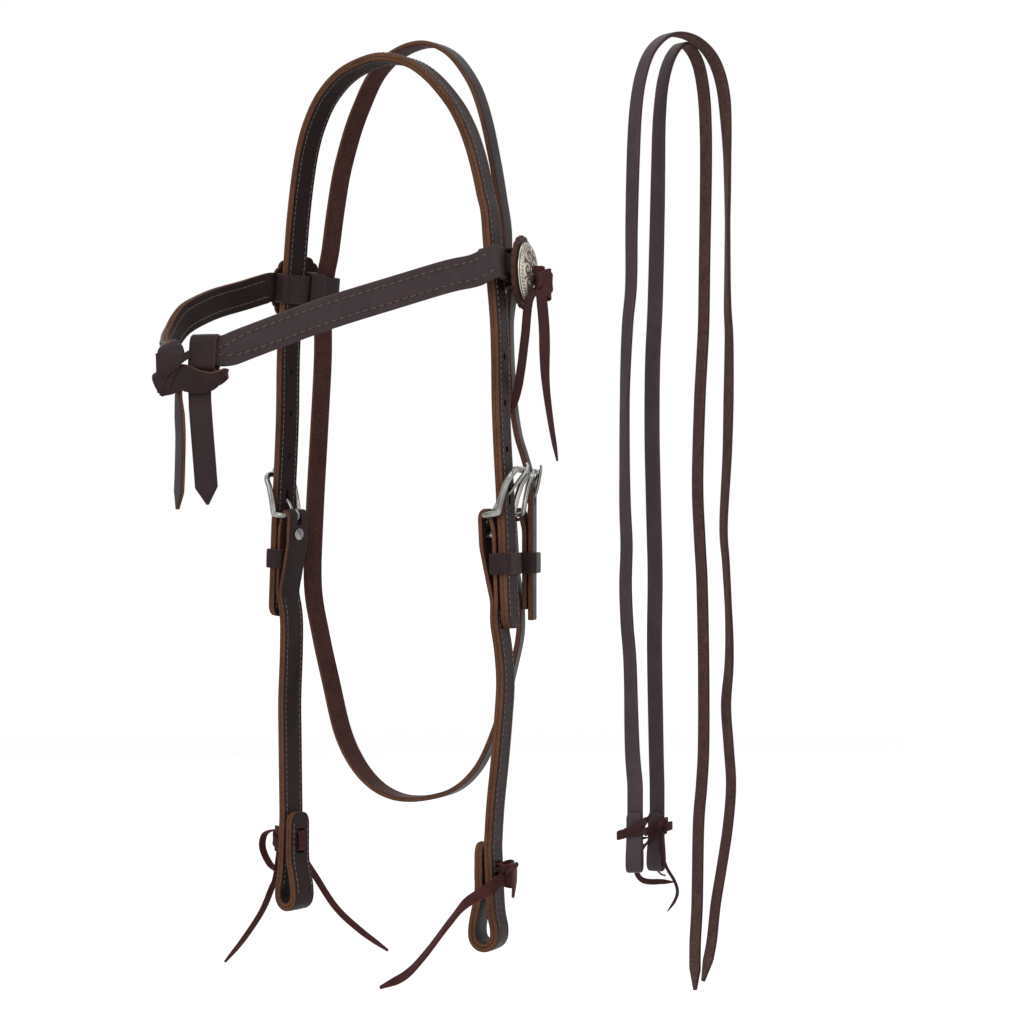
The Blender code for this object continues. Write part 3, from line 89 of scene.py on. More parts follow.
class Track:
    # a strap's centre line, with the width direction and the face normal at every station

    def __init__(self, points, ways, closed=False):
        self.points = np.asarray(points, float)
        self.closed = closed
        ends = np.vstack([self.points, self.points[:1]]) if closed else self.points
        runs = np.diff(ends, axis=0)
        lengths = np.linalg.norm(runs, axis=1)
        self.along = np.concatenate([[0.0], np.cumsum(lengths)])
        runs = runs / np.maximum(lengths, 1e-9)[:, None]
        if closed:
            self.tangents = unit(runs + np.roll(runs, 1, axis=0))
        else:
            self.tangents = unit(np.vstack([runs[:1], runs[1:] + runs[:-1], runs[-1:]]))
        hints = np.broadcast_to(np.asarray(ways, float), self.points.shape)
        self.sides = unit(hints - np.sum(hints * self.tangents, axis=1, keepdims=True) * self.tangents)
        self.normals = np.cross(self.tangents, self.sides)

    @property
    def length(self):
        return self.along[-1]

    def sample(self, spots):
        # points and directions at distances along the track, by straight interpolation
        stations = self.along
        def read(rows):
            full = np.vstack([rows, rows[:1]]) if self.closed else rows
            return np.column_stack([np.interp(spots, stations, full[:, k]) for k in range(3)])
        return read(self.points), unit(read(self.tangents)), unit(read(self.sides)), unit(read(self.normals))

    def evened(self, step, tip=0.0):
        # the same line with stations a step apart, and finer ones in the tips
        count = max(4, int(round(self.length / step)))
        if self.closed:
            spots = np.linspace(0.0, self.length, count, endpoint=False)
        else:
            spots = np.linspace(tip, self.length - tip, count)
            if tip:
                near = tip * np.linspace(0.0, 1.0, 9)[:-1] ** 1.6
                spots = np.concatenate([near, spots, self.length - near[::-1]])
        points, _, sides, _ = self.sample(spots)
        return Track(points, sides, self.closed)

    def offset(self, distance):
        # moved along the face normal, mitred so that plies stay parallel
        runs = unit(np.diff(self.points, axis=0))
        cosines = np.ones(len(self.points))
        cosines[1:-1] = np.sqrt(np.maximum((1 + np.sum(runs[1:] * runs[:-1], axis=1)) / 2, 0.05))
        return Track(self.points + self.normals * (distance / cosines)[:, None], self.sides)

    def atHeight(self, height, sign):
        # the frame where the strap passes a height on the near (+1) or off (-1) side
        a, b = self.points[:-1], self.points[1:]
        index = np.nonzero((a[:, 0] * sign > 0) & ((a[:, 2] - height) * (b[:, 2] - height) <= 0))[0][0]
        a, b = a[index], b[index]
        spot = a + (b - a) * (height - a[2]) / (b[2] - a[2])
        return Frame(spot, self.normals[index], unit(b - a) * (1 if b[2] > a[2] else -1))


class Frame:
    # a local frame on a strap: out from the head, up along the strap, side across it

    def __init__(self, origin, out, up):
        self.origin = np.asarray(origin, float)
        self.up = unit(np.asarray(up, float))
        self.out = unit(out - self.up * np.dot(out, self.up))
        self.side = np.cross(self.up, self.out)

    def at(self, out=0.0, side=0.0, up=0.0):
        rows = np.broadcast_arrays(*[np.asarray(value, float) for value in (out, side, up)])
        out, side, up = [row[..., None] for row in rows]
        return self.origin + out * self.out + side * self.side + up * self.up

    def moved(self, out=0.0, side=0.0, up=0.0):
        return Frame(self.at(out, side, up), self.out, self.up)

    def turned(self, degrees):
        # the same frame turned about its outward direction
        turn = math.radians(degrees)
        return Frame(self.origin, self.out, self.up * math.cos(turn) + self.side * math.sin(turn))


def roundedOutline(halfX, halfY, corner, cornerPoints=8):
    # a rectangle with quarter-circle corners, anticlockwise
    quarters = []
    for quarter, (sx, sy) in enumerate(((1, 1), (-1, 1), (-1, -1), (1, -1))):
        angle = math.pi / 2 * (quarter + np.linspace(0.0, 1.0, cornerPoints + 1))
        quarters.append(np.column_stack([sx * (halfX - corner) + corner * np.cos(angle),
                                         sy * (halfY - corner) + corner * np.sin(angle)]))
    return np.vstack(quarters)


def evenOutline(halfX, halfY, corner, step):
    # the same outline with points a step apart also on its long sides
    rows = roundedOutline(halfX, halfY, corner)
    return Track(np.column_stack([rows, np.zeros(len(rows))]), upward, True).evened(step).points[:, :2]


# materials

class Value:
    # wraps a socket, so that shader maths reads as expressions

    def __init__(self, net, socket):
        self.net, self.socket = net, socket

    def maths(self, operation, *others):
        return self.net.node("ShaderNodeMath", {"operation": operation}, (self, *others))

    def __add__(self, other): return self.maths("ADD", other)
    def __radd__(self, other): return self.maths("ADD", other)
    def __mul__(self, other): return self.maths("MULTIPLY", other)
    def __rmul__(self, other): return self.maths("MULTIPLY", other)
    def __sub__(self, other): return self.maths("SUBTRACT", other)
    def __rsub__(self, other): return self.net.node("ShaderNodeMath", {"operation": "SUBTRACT"}, (other, self))
    def absolute(self): return self.maths("ABSOLUTE")

    def between(self, low, high):
        # 0 below low, 1 above high, an even rise between
        settings = {"clamp": True, "interpolation_type": "SMOOTHSTEP"}
        return self.net.node("ShaderNodeMapRange", settings, {"Value": self, "From Min": low, "From Max": high})


class Net:
    # the nodes of a world, or of a material with its Principled shader

    def __init__(self, owner):
        owner.use_nodes = True
        self.owner, self.tree = owner, owner.node_tree
        self.shader = self.tree.nodes.get("Principled BSDF")
        if self.shader:
            self.object = self.node("ShaderNodeTexCoord", {}, (), "Object")

    def feed(self, socket, value):
        if isinstance(value, Value):
            self.tree.links.new(value.socket, socket)
        else:
            socket.default_value = (*value, 1.0) if isinstance(value, tuple) and socket.type == "RGBA" else value

    def node(self, kind, settings, values, output=0):
        made = self.tree.nodes.new(kind)
        for name, value in settings.items():
            setattr(made, name, value)
        pairs = values.items() if isinstance(values, dict) else enumerate(values)
        for key, value in pairs:
            self.feed(made.inputs[key], value)
        return Value(self, made.outputs[output])

    def attribute(self, name, output="Fac"):
        return self.node("ShaderNodeAttribute", {"attribute_name": name}, (), output)

    def noise(self, scale, detail=3.0, rough=0.55):
        return self.node("ShaderNodeTexNoise", {}, {"Vector": self.object, "Scale": scale, "Detail": detail,
                                                    "Roughness": rough})

    def rays(self, *kinds):
        # what kind of ray meets the surface: each is 1 or 0
        made = self.tree.nodes.new("ShaderNodeLightPath")
        return [Value(self, made.outputs["Is %s Ray" % kind]) for kind in kinds]

    def mix(self, factor, first, second):
        made = self.tree.nodes.new("ShaderNodeMix")
        made.data_type = "RGBA"
        for socket, value in zip((made.inputs[0], made.inputs[6], made.inputs[7]), (factor, first, second)):
            self.feed(socket, value)
        return Value(self, made.outputs[2])

    def bump(self, height, distance, strength=1.0):
        normal = self.node("ShaderNodeBump", {}, {"Height": height, "Distance": distance, "Strength": strength},
                           "Normal")
        self.feed(self.shader.inputs["Normal"], normal)

    def finish(self, **sockets):
        for name, value in sockets.items():
            self.feed(self.shader.inputs[name.replace("_", " ")], value)
        return self.owner


leatherLooks = {
    "dark": {"face": (0.0200, 0.0105, 0.0110), "worn": (0.038, 0.0195, 0.0190), "flesh": (0.052, 0.0205, 0.0170),
             "edge": (0.150, 0.066, 0.034), "edgeDark": (0.066, 0.028, 0.016), "rough": 0.44, "grain": 0.00010},
    "lining": {"face": (0.0170, 0.0090, 0.0088), "worn": (0.032, 0.0165, 0.0150), "flesh": (0.0190, 0.0105, 0.0100),
               "edge": (0.140, 0.060, 0.031), "edgeDark": (0.062, 0.026, 0.015), "rough": 0.50, "grain": 0.00010},
    "arm": {"face": (0.0430, 0.0295, 0.0330), "worn": (0.062, 0.043, 0.045), "flesh": (0.0300, 0.0180, 0.0160),
            "edge": (0.130, 0.062, 0.036), "edgeDark": (0.058, 0.027, 0.018), "rough": 0.42, "grain": 0.00010},
    "latigo": {"face": (0.0360, 0.0115, 0.0125), "worn": (0.066, 0.0190, 0.0190), "flesh": (0.052, 0.0130, 0.0130),
               "edge": (0.130, 0.034, 0.027), "edgeDark": (0.050, 0.0120, 0.0110), "rough": 0.40, "grain": 0.00007},
    "rosette": {"face": (0.0210, 0.0125, 0.0130), "worn": (0.036, 0.020, 0.017), "flesh": (0.040, 0.018, 0.013),
                "edge": (0.078, 0.032, 0.018), "edgeDark": (0.034, 0.014, 0.009), "rough": 0.44, "grain": 0.00010},
    "rein": {"face": (0.0600, 0.0430, 0.0490), "worn": (0.086, 0.061, 0.064), "flesh": (0.092, 0.049, 0.044),
             "edge": (0.075, 0.040, 0.034), "edgeDark": (0.036, 0.020, 0.019), "rough": 0.46, "grain": 0.00010},
    "band": {"face": (0.0230, 0.0130, 0.0145), "worn": (0.040, 0.0220, 0.0225), "flesh": (0.036, 0.018, 0.014),
             "edge": (0.052, 0.026, 0.020), "edgeDark": (0.026, 0.013, 0.011), "rough": 0.42, "grain": 0.00010},
}


# noises of the leather, as waves per metre, detail and roughness; its cells by their scale alone
grains = {"broad": (38.0, 4.0), "cloud": (140.0, 3.0), "pores": (2600.0, 2.0), "fibres": (900.0, 4.0, 0.7),
          "cells": 1150.0}
leatherShine = 0.11


def leatherFinish(name, look):
    # colour by face, flesh side and cut edge, from the attributes that every strap carries:
    # strap = (across from -1 to 1, metres along, face +1 or flesh -1), edge = 1 on the cut wall
    net = Net(bpy.data.materials.new(name))
    strap = net.attribute("strap", "Vector")
    across, facing = [net.node("ShaderNodeSeparateXYZ", {}, (strap,), k) for k in (0, 2)]
    edge = net.attribute("edge")
    broad, cloud, pores, fibres = [net.noise(*grains[kind]) for kind in ("broad", "cloud", "pores", "fibres")]
    cells = net.node("ShaderNodeTexVoronoi", {"feature": "DISTANCE_TO_EDGE"},
                     {"Vector": net.object, "Scale": grains["cells"]})
    handled = (broad * 0.6 + cloud * 0.4).between(0.42, 0.66)
    rim = across.absolute().between(0.86, 1.0)
    face = net.mix(handled * 0.55, look["face"], look["worn"])
    face = net.mix(rim * 0.45 * broad.between(0.35, 0.6), face, look["worn"])
    fleshMarks = (fibres * 0.7 + cloud * 0.3).between(0.36, 0.62)
    flesh = net.mix(fleshMarks, tuple(0.55 * c for c in look["flesh"]), tuple(1.25 * c for c in look["flesh"]))
    wall = net.mix((fibres * 0.6 + broad * 0.4).between(0.34, 0.64), look["edgeDark"], look["edge"])
    fleshSide = (0.0 - facing).between(0.0, 0.5)
    colour = net.mix(fleshSide, face, flesh)
    wallMask = edge.between(0.35, 0.8)
    colour = net.mix(wallMask, colour, wall)
    raised = cells.between(0.0, 0.28) * 0.55 + pores * 0.25
    fuzzy = fibres * 0.9 + pores * 0.4
    grain = raised * (1.0 - fleshSide) * (1.0 - wallMask) + fuzzy * (fleshSide + wallMask) * 0.8
    net.bump(grain + broad * 0.6, look["grain"], 0.7)
    rough = look["rough"] + handled * 0.10 + fleshSide * 0.22 + wallMask * 0.22 + (pores - 0.5) * 0.12
    return net.finish(Base_Color=colour, Roughness=rough, Specular_IOR_Level=leatherShine)


def threadFinish(name, dark, light):
    # waxed thread: two colours along its lay
    net = Net(bpy.data.materials.new(name))
    lay = net.noise(1400.0, 2.0)
    colour = net.mix(lay.between(0.35, 0.65), dark, light)
    net.bump(lay, 0.00008, 0.6)
    return net.finish(Base_Color=colour, Roughness=0.55)


def nickelFinish():
    # bright wire: faint draw marks and small dull spots
    net = Net(bpy.data.materials.new("brightNickel"))
    scuffs = net.noise(420.0, 5.0)
    haze = net.noise(60.0, 3.0)
    colour = net.mix(haze.between(0.4, 0.7), (0.17, 0.165, 0.158), (0.37, 0.36, 0.345))
    net.bump(scuffs, 0.000006, 0.4)
    return net.finish(Base_Color=colour, Roughness=0.16 + scuffs.between(0.45, 0.7) * 0.16, Metallic=1.0)


def silverFinish():
    # antiqued silver: bright on the raised work, darkened in the recesses
    net = Net(bpy.data.materials.new("antiqueSilver"))
    raised = net.attribute("raised")
    dirt = net.noise(700.0, 4.0)
    shade = (raised + dirt * 0.25 - 0.12).between(0.30, 0.72)
    colour = net.mix(shade, (0.085, 0.068, 0.052), (0.50, 0.45, 0.38))
    net.bump(dirt, 0.00002, 0.5)
    return net.finish(Base_Color=colour, Roughness=0.52 - shade * 0.24, Metallic=0.35 + shade * 0.65)


finishes = {name: leatherFinish(name + "Leather", look) for name, look in leatherLooks.items()}
finishes.update(thread=threadFinish("waxedThread", (0.080, 0.052, 0.042), (0.185, 0.130, 0.105)),
                bold=threadFinish("boldThread", (0.060, 0.035, 0.025), (0.120, 0.070, 0.048)),
                # prick: painted shade, a near-black thread colour for the shade inside the stitch holes
                prick=threadFinish("holeShadeThread", (0.006, 0.003, 0.003), (0.014, 0.008, 0.007)),
                nickel=nickelFinish(), silver=silverFinish())
print("materials made")


# meshes

def makeMesh(name, points, faces, attributes, finish, sharp=50.0):
    # a mesh from point rows and face rows, turned outside out if its signed volume is negative
    mesh = bpy.data.meshes.new(name)
    points = np.asarray(points, float)
    volume = 0.0
    for rows in faces:
        rows = np.asarray(rows)
        a = points[rows[:, 0]]
        for k in range(1, rows.shape[1] - 1):
            volume += np.einsum("ij,ij->i", a, np.cross(points[rows[:, k]], points[rows[:, k + 1]])).sum()
    flip = slice(None, None, -1) if volume < 0 else slice(None)
    listed = [row for rows in faces for row in np.asarray(rows)[:, flip].tolist()]
    mesh.from_pydata(points.tolist(), [], listed)
    for label, values in attributes.items():
        values = np.asarray(values, float)
        if values.ndim == 2:
            mesh.attributes.new(label, "FLOAT_VECTOR", "POINT").data.foreach_set("vector", values.ravel())
        else:
            mesh.attributes.new(label, "FLOAT", "POINT").data.foreach_set("value", values)
    mesh.materials.append(finishes[finish])
    mesh.shade_smooth()
    mesh.set_sharp_from_angle(angle=math.radians(sharp))
    made = bpy.data.objects.new(name, mesh)
    scene.collection.objects.link(made)
    return made


def gridFaces(rows, columns, closeRows=False):
    # quads between neighbouring points of a rows x columns grid, whose columns run round
    r = np.arange(rows if closeRows else rows - 1)[:, None]
    c = np.arange(columns)[None, :]
    rNext, cNext = (r + 1) % rows, (c + 1) % columns
    return np.stack([r * columns + c, r * columns + cNext, rNext * columns + cNext, rNext * columns + c],
                    axis=-1).reshape(-1, 4)


# a strap's section: stations across its face, corners, the face's crown and grooves, and its end caps
strapShape = {"across": (-1.0, -0.66, -0.33, 0.0, 0.33, 0.66, 1.0), "corner": 0.85 * mm, "cornerShare": 0.42,
              "snugCorner": 0.14 * mm, "snugLift": 0.10 * mm, "crown": 0.05, "grooveReach": 0.75 * mm,
              "grooveSpread": 0.45 * mm, "capShare": 0.9, "capRim": 0.12}


def strapSection(half, thickness, groove, snug=0):
    # a rounded rectangle, from the outer face round the wall to the inner face: across as a share of the
    # half width, height, how much of a cut edge it is, and which face it is on; the snug face (+1 or -1)
    # lies on another ply, flat and with nearly square corners
    def halfSection(face):
        corner = min(strapShape["cornerShare"] * thickness, strapShape["corner"])
        if face == snug:
            corner = strapShape["snugCorner"]
        flat = half - corner
        across = np.array(strapShape["across"]) * flat
        sunk = np.zeros(len(across))
        if groove and face != snug:
            inset, deep = groove
            line, wide = half - inset, strapShape["grooveReach"]
            marks = [sign * line + step for sign in (-1, 1) for step in (-wide, 0.0, wide)]
            across = np.unique(np.concatenate([across, marks]).clip(-flat, flat))
            sunk = deep * np.exp(-((np.abs(across) - line) / strapShape["grooveSpread"]) ** 2)
        height = thickness * (0.5 - strapShape["crown"] * (across / half) ** 2) - sunk
        if face == snug:
            height = np.full(len(across), thickness / 2 + strapShape["snugLift"])
        angles = np.linspace(0.0, math.pi / 2, 5)[1:]
        flatRows = np.stack([across, height, np.zeros(len(across)), np.ones(len(across))])
        cornerRows = np.stack([flat + corner * np.sin(angles), height[-1] - corner * (1 - np.cos(angles)),
                               np.array((0.0, 0.35, 0.8, 1.0)), np.ones(4)])
        return flatRows, cornerRows
    (flatTop, cornerTop), (flatLow, cornerLow) = halfSection(1), halfSection(-1)
    low, left = np.array((1, -1, 1, -1))[:, None], np.array((-1, 1, 1, 1))[:, None]
    section = np.hstack([flatTop, cornerTop, (cornerLow * low)[:, ::-1], (flatLow * low)[:, ::-1],
                         cornerLow * low * left, (cornerTop * left)[:, ::-1]])
    return section[0] / half, section[1], section[2], section[3]


def sweep(name, track, across, height, finish, widths, thickness, edge, facing, body, nodes=(),
          sharp=50.0):
    # the section carried along the track: point = station + side * across + normal * height
    count = len(track.points)
    points = (track.points[:, None, :] + track.sides[:, None, :] * (widths[:, None] * across[None, :])[..., None]
              + track.normals[:, None, :] * (thickness[:, None] * height[None, :])[..., None])
    columns = len(across)
    faces = [gridFaces(count, columns, track.closed)]
    share = across / np.abs(across).max()
    strapRows = np.stack(np.broadcast_arrays(share[None, :], track.along[:count, None], facing[None, :]), axis=-1)
    edgeRows = np.broadcast_to(edge[None, :], (count, columns))
    points, strapRows, edgeRows = points.reshape(-1, 3), strapRows.reshape(-1, 3), edgeRows.reshape(-1)
    if not track.closed:
        # each end: a ring drawn in a little, then one flat face, both cut edge
        rim = strapShape["capRim"] * np.abs(height).max()
        for row, direction in ((0, -1), (count - 1, 1)):
            ring = points[row * columns:(row + 1) * columns]
            middle = ring.mean(axis=0)
            drawn = middle + (ring - middle) * strapShape["capShare"] + track.tangents[row] * rim * direction
            start = len(points)
            points = np.vstack([points, drawn])
            strapRows = np.vstack([strapRows, strapRows[row * columns:(row + 1) * columns]])
            edgeRows = np.concatenate([edgeRows, np.ones(columns)])
            a = np.arange(columns)
            b = (a + 1) % columns
            inner, outer = start + a, row * columns + a
            innerNext, outerNext = start + b, row * columns + b
            if direction > 0:
                faces.append(np.stack([outer, outerNext, innerNext, inner], axis=-1))
                faces.append((start + a)[None, :])
            else:
                faces.append(np.stack([inner, innerNext, outerNext, outer], axis=-1))
                faces.append((start + a[::-1])[None, :])
    made = makeMesh(name, points, faces, {"strap": strapRows, "edge": edgeRows}, finish, sharp)
    return ready(made, body, nodes)


def ready(made, body, nodes=()):
    global pieceCount
    pieceCount += 1
    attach(made, body)
    if nodes:
        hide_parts(*nodes)
    return made


def tipWidths(track, width, start, end, blunt=0.35):
    # a rounded tip: the half width falls off as a quarter of a bow over each tip's length
    along = track.along[:len(track.points)]
    share = np.ones(len(along))
    for reach, distance in ((start, along), (end, track.length - along)):
        if reach:
            inside = np.clip(distance / reach, 0.0, 1.0)
            share = np.minimum(share, blunt + (1 - blunt) * np.sqrt(1 - (1 - inside) ** 2))
    return width / 2 * share


def strapPiece(name, track, width, thickness, finish, body, nodes=(), groove=None, widths=None, step=2.0 * mm,
               tip=8.0 * mm, snug=0):
    fine = track.evened(step) if track.closed else track.evened(step, tip)
    count = len(fine.points)
    halves = np.full(count, width / 2) if widths is None else widths(fine)
    across, height, edge, facing = strapSection(width / 2, thickness, groove, snug)
    return sweep(name, fine, across, height, finish, halves, np.ones(count), edge, facing, body, nodes)


# one stitch: stations along it, its fullness there, and how flat it is and how far its middle bows out
stitch = {"stations": (-1.0, -0.82, -0.35, 0.35, 0.82, 1.0), "fat": (0.30, 0.80, 1.0, 1.0, 0.80, 0.30),
          "flat": 0.75, "bow": 0.55, "sides": 6}


def stitchRow(name, track, row, lift, start, end, pitch, thread, body, tilt=0.0, finish="thread", share=None):
    # two rows of thread stitches: short beads with drawn-in ends, laid along the strap
    half, radius = thread
    stations, fat = [np.array(stitch[key])[:, None] for key in ("stations", "fat")]
    turn = circle(stitch["sides"])[None, :]
    spots = np.arange(start, end, pitch)
    points, tangents, sides, normals = [rows[:, None, :] for rows in track.sample(spots)]
    bow = stitch["bow"] * (1 - stations ** 2)
    local = radius * np.stack(np.broadcast_arrays(
        stations * half / radius, fat * np.cos(turn), stitch["flat"] * fat * np.sin(turn) + bow), axis=-1)
    local = local.reshape(1, -1, 3)
    ends = np.arange(stitch["sides"])
    faces = gridFaces(len(stations), stitch["sides"])
    caps = [ends[::-1][None, :], (local.shape[1] - stitch["sides"] + ends)[None, :]]
    allPoints, allQuads, allCaps = [], [], []
    shares = np.ones(len(spots)) if share is None else share(spots)
    for k, across in enumerate((-row, row)):
        centres = points + sides * (across * shares)[:, None, None] + normals * lift
        spread = (centres + (tangents + sides * tilt) * local[..., :1] + sides * local[..., 1:2]
                  + normals * local[..., 2:])
        shifts = (k * len(spots) + np.arange(len(spots)))[:, None, None] * local.shape[1]
        allPoints.append(spread.reshape(-1, 3))
        allQuads.append((faces[None] + shifts).reshape(-1, 4))
        allCaps += [(cap[None] + shifts).reshape(-1, stitch["sides"]) for cap in caps]
    made = makeMesh(name, np.vstack(allPoints), [np.vstack(allQuads), np.vstack(allCaps)], {}, finish, 80.0)
    return ready(made, body)


def tube(name, track, radius, body, nodes=(), sides=18, shares=None):
    # round wire, drawn in by its shares of the radius where they are given
    turn = circle(sides)
    shares = np.ones(len(track.points)) if shares is None else shares
    return sweep(name, track, np.cos(turn) * radius, np.sin(turn) * radius, "nickel", shares, shares,
                 np.zeros(sides), np.ones(sides), body, nodes, sharp=60.0)


def turnedPiece(name, spot, profile, finish, body, nodes=(), sides=48, sharp=35.0, relief=0.0, swell=1.0,
                **attributes):
    # a profile of (radius, outward) rows spun about the frame's outward direction
    profile = np.asarray(profile, float)
    turn, ends, rows = circle(sides), np.arange(sides), len(profile)
    radius = profile[:, :1] * np.ones(sides) * swell
    out = profile[:, 1:] * np.ones(sides) + relief
    points = spot.at(out, radius * np.cos(turn), radius * np.sin(turn)).reshape(-1, 3)
    faces = [gridFaces(rows, sides), ends[::-1][None, :], ((rows - 1) * sides + ends)[None, :]]
    attributes.setdefault("strap", np.tile((0.0, 0.0, 1.0), (len(points), 1)))
    made = makeMesh(name, points, faces, attributes, finish, sharp)
    return ready(made, body, nodes)


def cutAway(made, *cutters):
    # Boolean cuts, applied at once; the cutters go
    for cutter in cutters:
        step = made.modifiers.new("cut", "BOOLEAN")
        step.operation, step.solver, step.object = "DIFFERENCE", "EXACT", cutter
    bpy.context.view_layer.update()
    evaluated = made.evaluated_get(bpy.context.evaluated_depsgraph_get())
    mesh = bpy.data.meshes.new_from_object(evaluated)
    made.modifiers.clear()
    made.data = mesh
    mesh.set_sharp_from_angle(angle=math.radians(45.0))
    for cutter in cutters:
        bpy.data.objects.remove(cutter)


def prismCutter(spot, outline, start, end):
    # an outline (side, up) carried straight along the frame's outward direction
    points = np.vstack([spot.at(out, outline[:, 0], outline[:, 1]) for out in (start, end)])
    count = len(outline)
    mesh = bpy.data.meshes.new("cutter")
    mesh.from_pydata(points.tolist(), [], gridFaces(2, count).tolist() + [list(range(count))[::-1],
                                                                         list(range(count, 2 * count))])
    made = bpy.data.objects.new("cutter", mesh)
    scene.collection.objects.link(made)
    return made


def rodCutter(spot, radius, start, end, sides=20):
    turn = circle(sides)
    return prismCutter(spot, radius * np.column_stack([np.cos(turn), np.sin(turn)]), start, end)


def blockCutter(spot, out, side, up):
    corners = np.array(((-1, -1), (1, -1), (1, 1), (-1, 1)))
    return prismCutter(spot, corners * (side / 2, up / 2), -out / 2, out / 2)


def slotCutter(spot, out, side, up):
    # round ends: the corners take nearly all of the half width
    return prismCutter(spot, roundedOutline(side / 2, up / 2, side / 2 * 0.98, 6), -out / 2, out / 2)


# camera, light and floor

view = {"place": (1.0715, -0.8693, -0.2583), "azimuth": 48.0, "lens": 84.2, "sensor": 36.0, "shift": -0.002,
        "clip": (0.05, 60.0)}


def makeCamera():
    lens = bpy.data.cameras.new("camera")
    lens.lens, lens.sensor_width, lens.shift_y = view["lens"], view["sensor"], view["shift"]
    lens.clip_start, lens.clip_end = view["clip"]
    made = bpy.data.objects.new("camera", lens)
    made.location = view["place"]
    made.rotation_euler = (math.pi / 2, 0.0, math.radians(view["azimuth"]))
    scene.collection.objects.link(made)
    scene.camera = made


studio = {"floorDrop": 0.62, "floorHalf": 14.0, "floor": 0.80, "floorRough": 0.9, "nearGlow": 0.46, "farGlow": 0.76,
          "glowReach": (0.6, 5.0), "world": 0.37, "target": (0.02, 0.0, -0.25),
          "lamps": (("keyLamp", (0.55, -1.75, 0.75), 1.5, 19.0), ("sideLamp", (1.75, 0.35, 0.35), 1.3, 6.5),
                    ("faceLamp", (1.9, -1.5, -0.55), 1.1, 6.0), ("topLamp", (-0.2, 0.1, 1.6), 1.4, 10.0),
                    ("backLamp", (-1.6, 0.9, 0.4), 1.3, 3.5))}


def makeStudio():
    # a pale floor and five soft lamps; what the camera and the metal see behind is white
    drop, reach = -studio["floorDrop"], studio["floorHalf"]
    mesh = bpy.data.meshes.new("floor")
    mesh.from_pydata([(-reach, -reach, drop), (reach, -reach, drop), (reach, reach, drop), (-reach, reach, drop)],
                     [], [(0, 1, 2, 3)])
    floor = bpy.data.objects.new("floor", mesh)
    scene.collection.objects.link(floor)
    net = Net(bpy.data.materials.new("paleFloor"))
    camera, glossy = net.rays("Camera", "Glossy")
    # the glow that the camera sees grows away from the object, so that the shadow near it stays
    apart = net.node("ShaderNodeVectorMath", {"operation": "LENGTH"}, (net.object,), "Value")
    nearGlow, farGlow, paint = [(grey,) * 3 for grey in (studio["nearGlow"], studio["farGlow"], studio["floor"])]
    glow = net.mix(apart.between(*studio["glowReach"]), nearGlow, farGlow)
    glow = net.mix(camera.maths("MAXIMUM", glossy), (0.0, 0.0, 0.0), glow)
    mesh.materials.append(net.finish(Base_Color=paint, Roughness=studio["floorRough"], Emission_Color=glow,
                                     Emission_Strength=1.0))
    scene.world = bpy.data.worlds.new("studio")
    sky = Net(scene.world)
    background = sky.tree.nodes["Background"].inputs
    background["Color"].default_value = (1.0, 1.0, 1.0, 1.0)
    camera, through, glossy = sky.rays("Camera", "Transmission", "Glossy")
    seen = camera.maths("MAXIMUM", through).maths("MAXIMUM", glossy)
    sky.feed(background["Strength"], sky.node("ShaderNodeMapRange", {}, {"Value": seen, "To Min": studio["world"],
                                                                        "To Max": 1.0}))
    target = np.array(studio["target"])
    for name, spot, width, power in studio["lamps"]:
        lamp = bpy.data.lights.new(name, "AREA")
        lamp.shape, lamp.size, lamp.energy = "DISK", width, power
        made = bpy.data.objects.new(name, lamp)
        made.location = spot
        aim = unit(target - np.array(spot))
        made.rotation_euler = (math.acos(-aim[2]), 0.0, math.atan2(-aim[0], aim[1]))
        scene.collection.objects.link(made)


scene.view_settings.view_transform = "Standard"
makeCamera()
makeStudio()
print("camera and studio ready")


# crown strap

crown = {"width": 16.0 * mm, "heelDrop": 261 * mm, "tip": 7.0 * mm, "holePitch": 25.4 * mm, "holeRadius": 1.9 * mm,
         "holes": 3, "tongueRise": 10.3 * mm, "slotLength": 10.2 * mm, "slotWidth": 2.8 * mm,
         "stitchInset": 2.3 * mm, "pitch": 3.3 * mm, "margin": 6.0 * mm, "nearYaw": 26.0,
         "turns": ((-0.9, 9.0), (-0.5, 12.0), (0.0, 16.0), (0.6, 22.0), (0.95, 26.0)),
         "leg": ((0.192, 0.88), (0.230, 0.902), (0.266, 0.928), (0.310, 0.955), (0.350, 0.965), (0.400, 0.970),
                 (0.450, 0.985), (0.500, 1.005), (0.545, 1.020), (0.590, 1.032), (0.645, 1.048)),
         "arch": ((-0.865, 0.170), (-0.840, 0.141), (-0.810, 0.113), (-0.770, 0.085), (-0.706, 0.058),
                  (-0.594, 0.030), (-0.430, 0.009), (-0.246, -0.001), (-0.020, -0.003), (0.211, 0.009),
                  (0.396, 0.030), (0.574, 0.062), (0.684, 0.091), (0.757, 0.119), (0.810, 0.147), (0.848, 0.172))}


def crownTrack():
    offLeg = [place(-spread, 0.0, drop) for drop, spread in reversed(crown["leg"])]
    nearLeg = [place(spread, 0.0, drop) for drop, spread in crown["leg"]]
    points = smooth(offLeg + [place(spread, 0.0, drop) for spread, drop in crown["arch"]] + nearLeg)
    turns = np.interp(points[:, 0] / size["halfSpread"], *zip(*crown["turns"]))
    return Track(points, [yaw(turn) for turn in turns])


crownLine = crownTrack()
near, off = 1, -1
sideName = {near: "near", off: "off"}
heel = {side: crownLine.atHeight(-crown["heelDrop"], side) for side in (near, off)}
groove = (crown["stitchInset"], 0.16 * mm)
thinThread = (1.25 * mm, 0.36 * mm)
threadSunk = 0.10 * mm
stitchRowAt = crown["width"] / 2 - crown["stitchInset"]


def crownTips(fine):
    return tipWidths(fine, crown["width"], crown["tip"], crown["tip"])


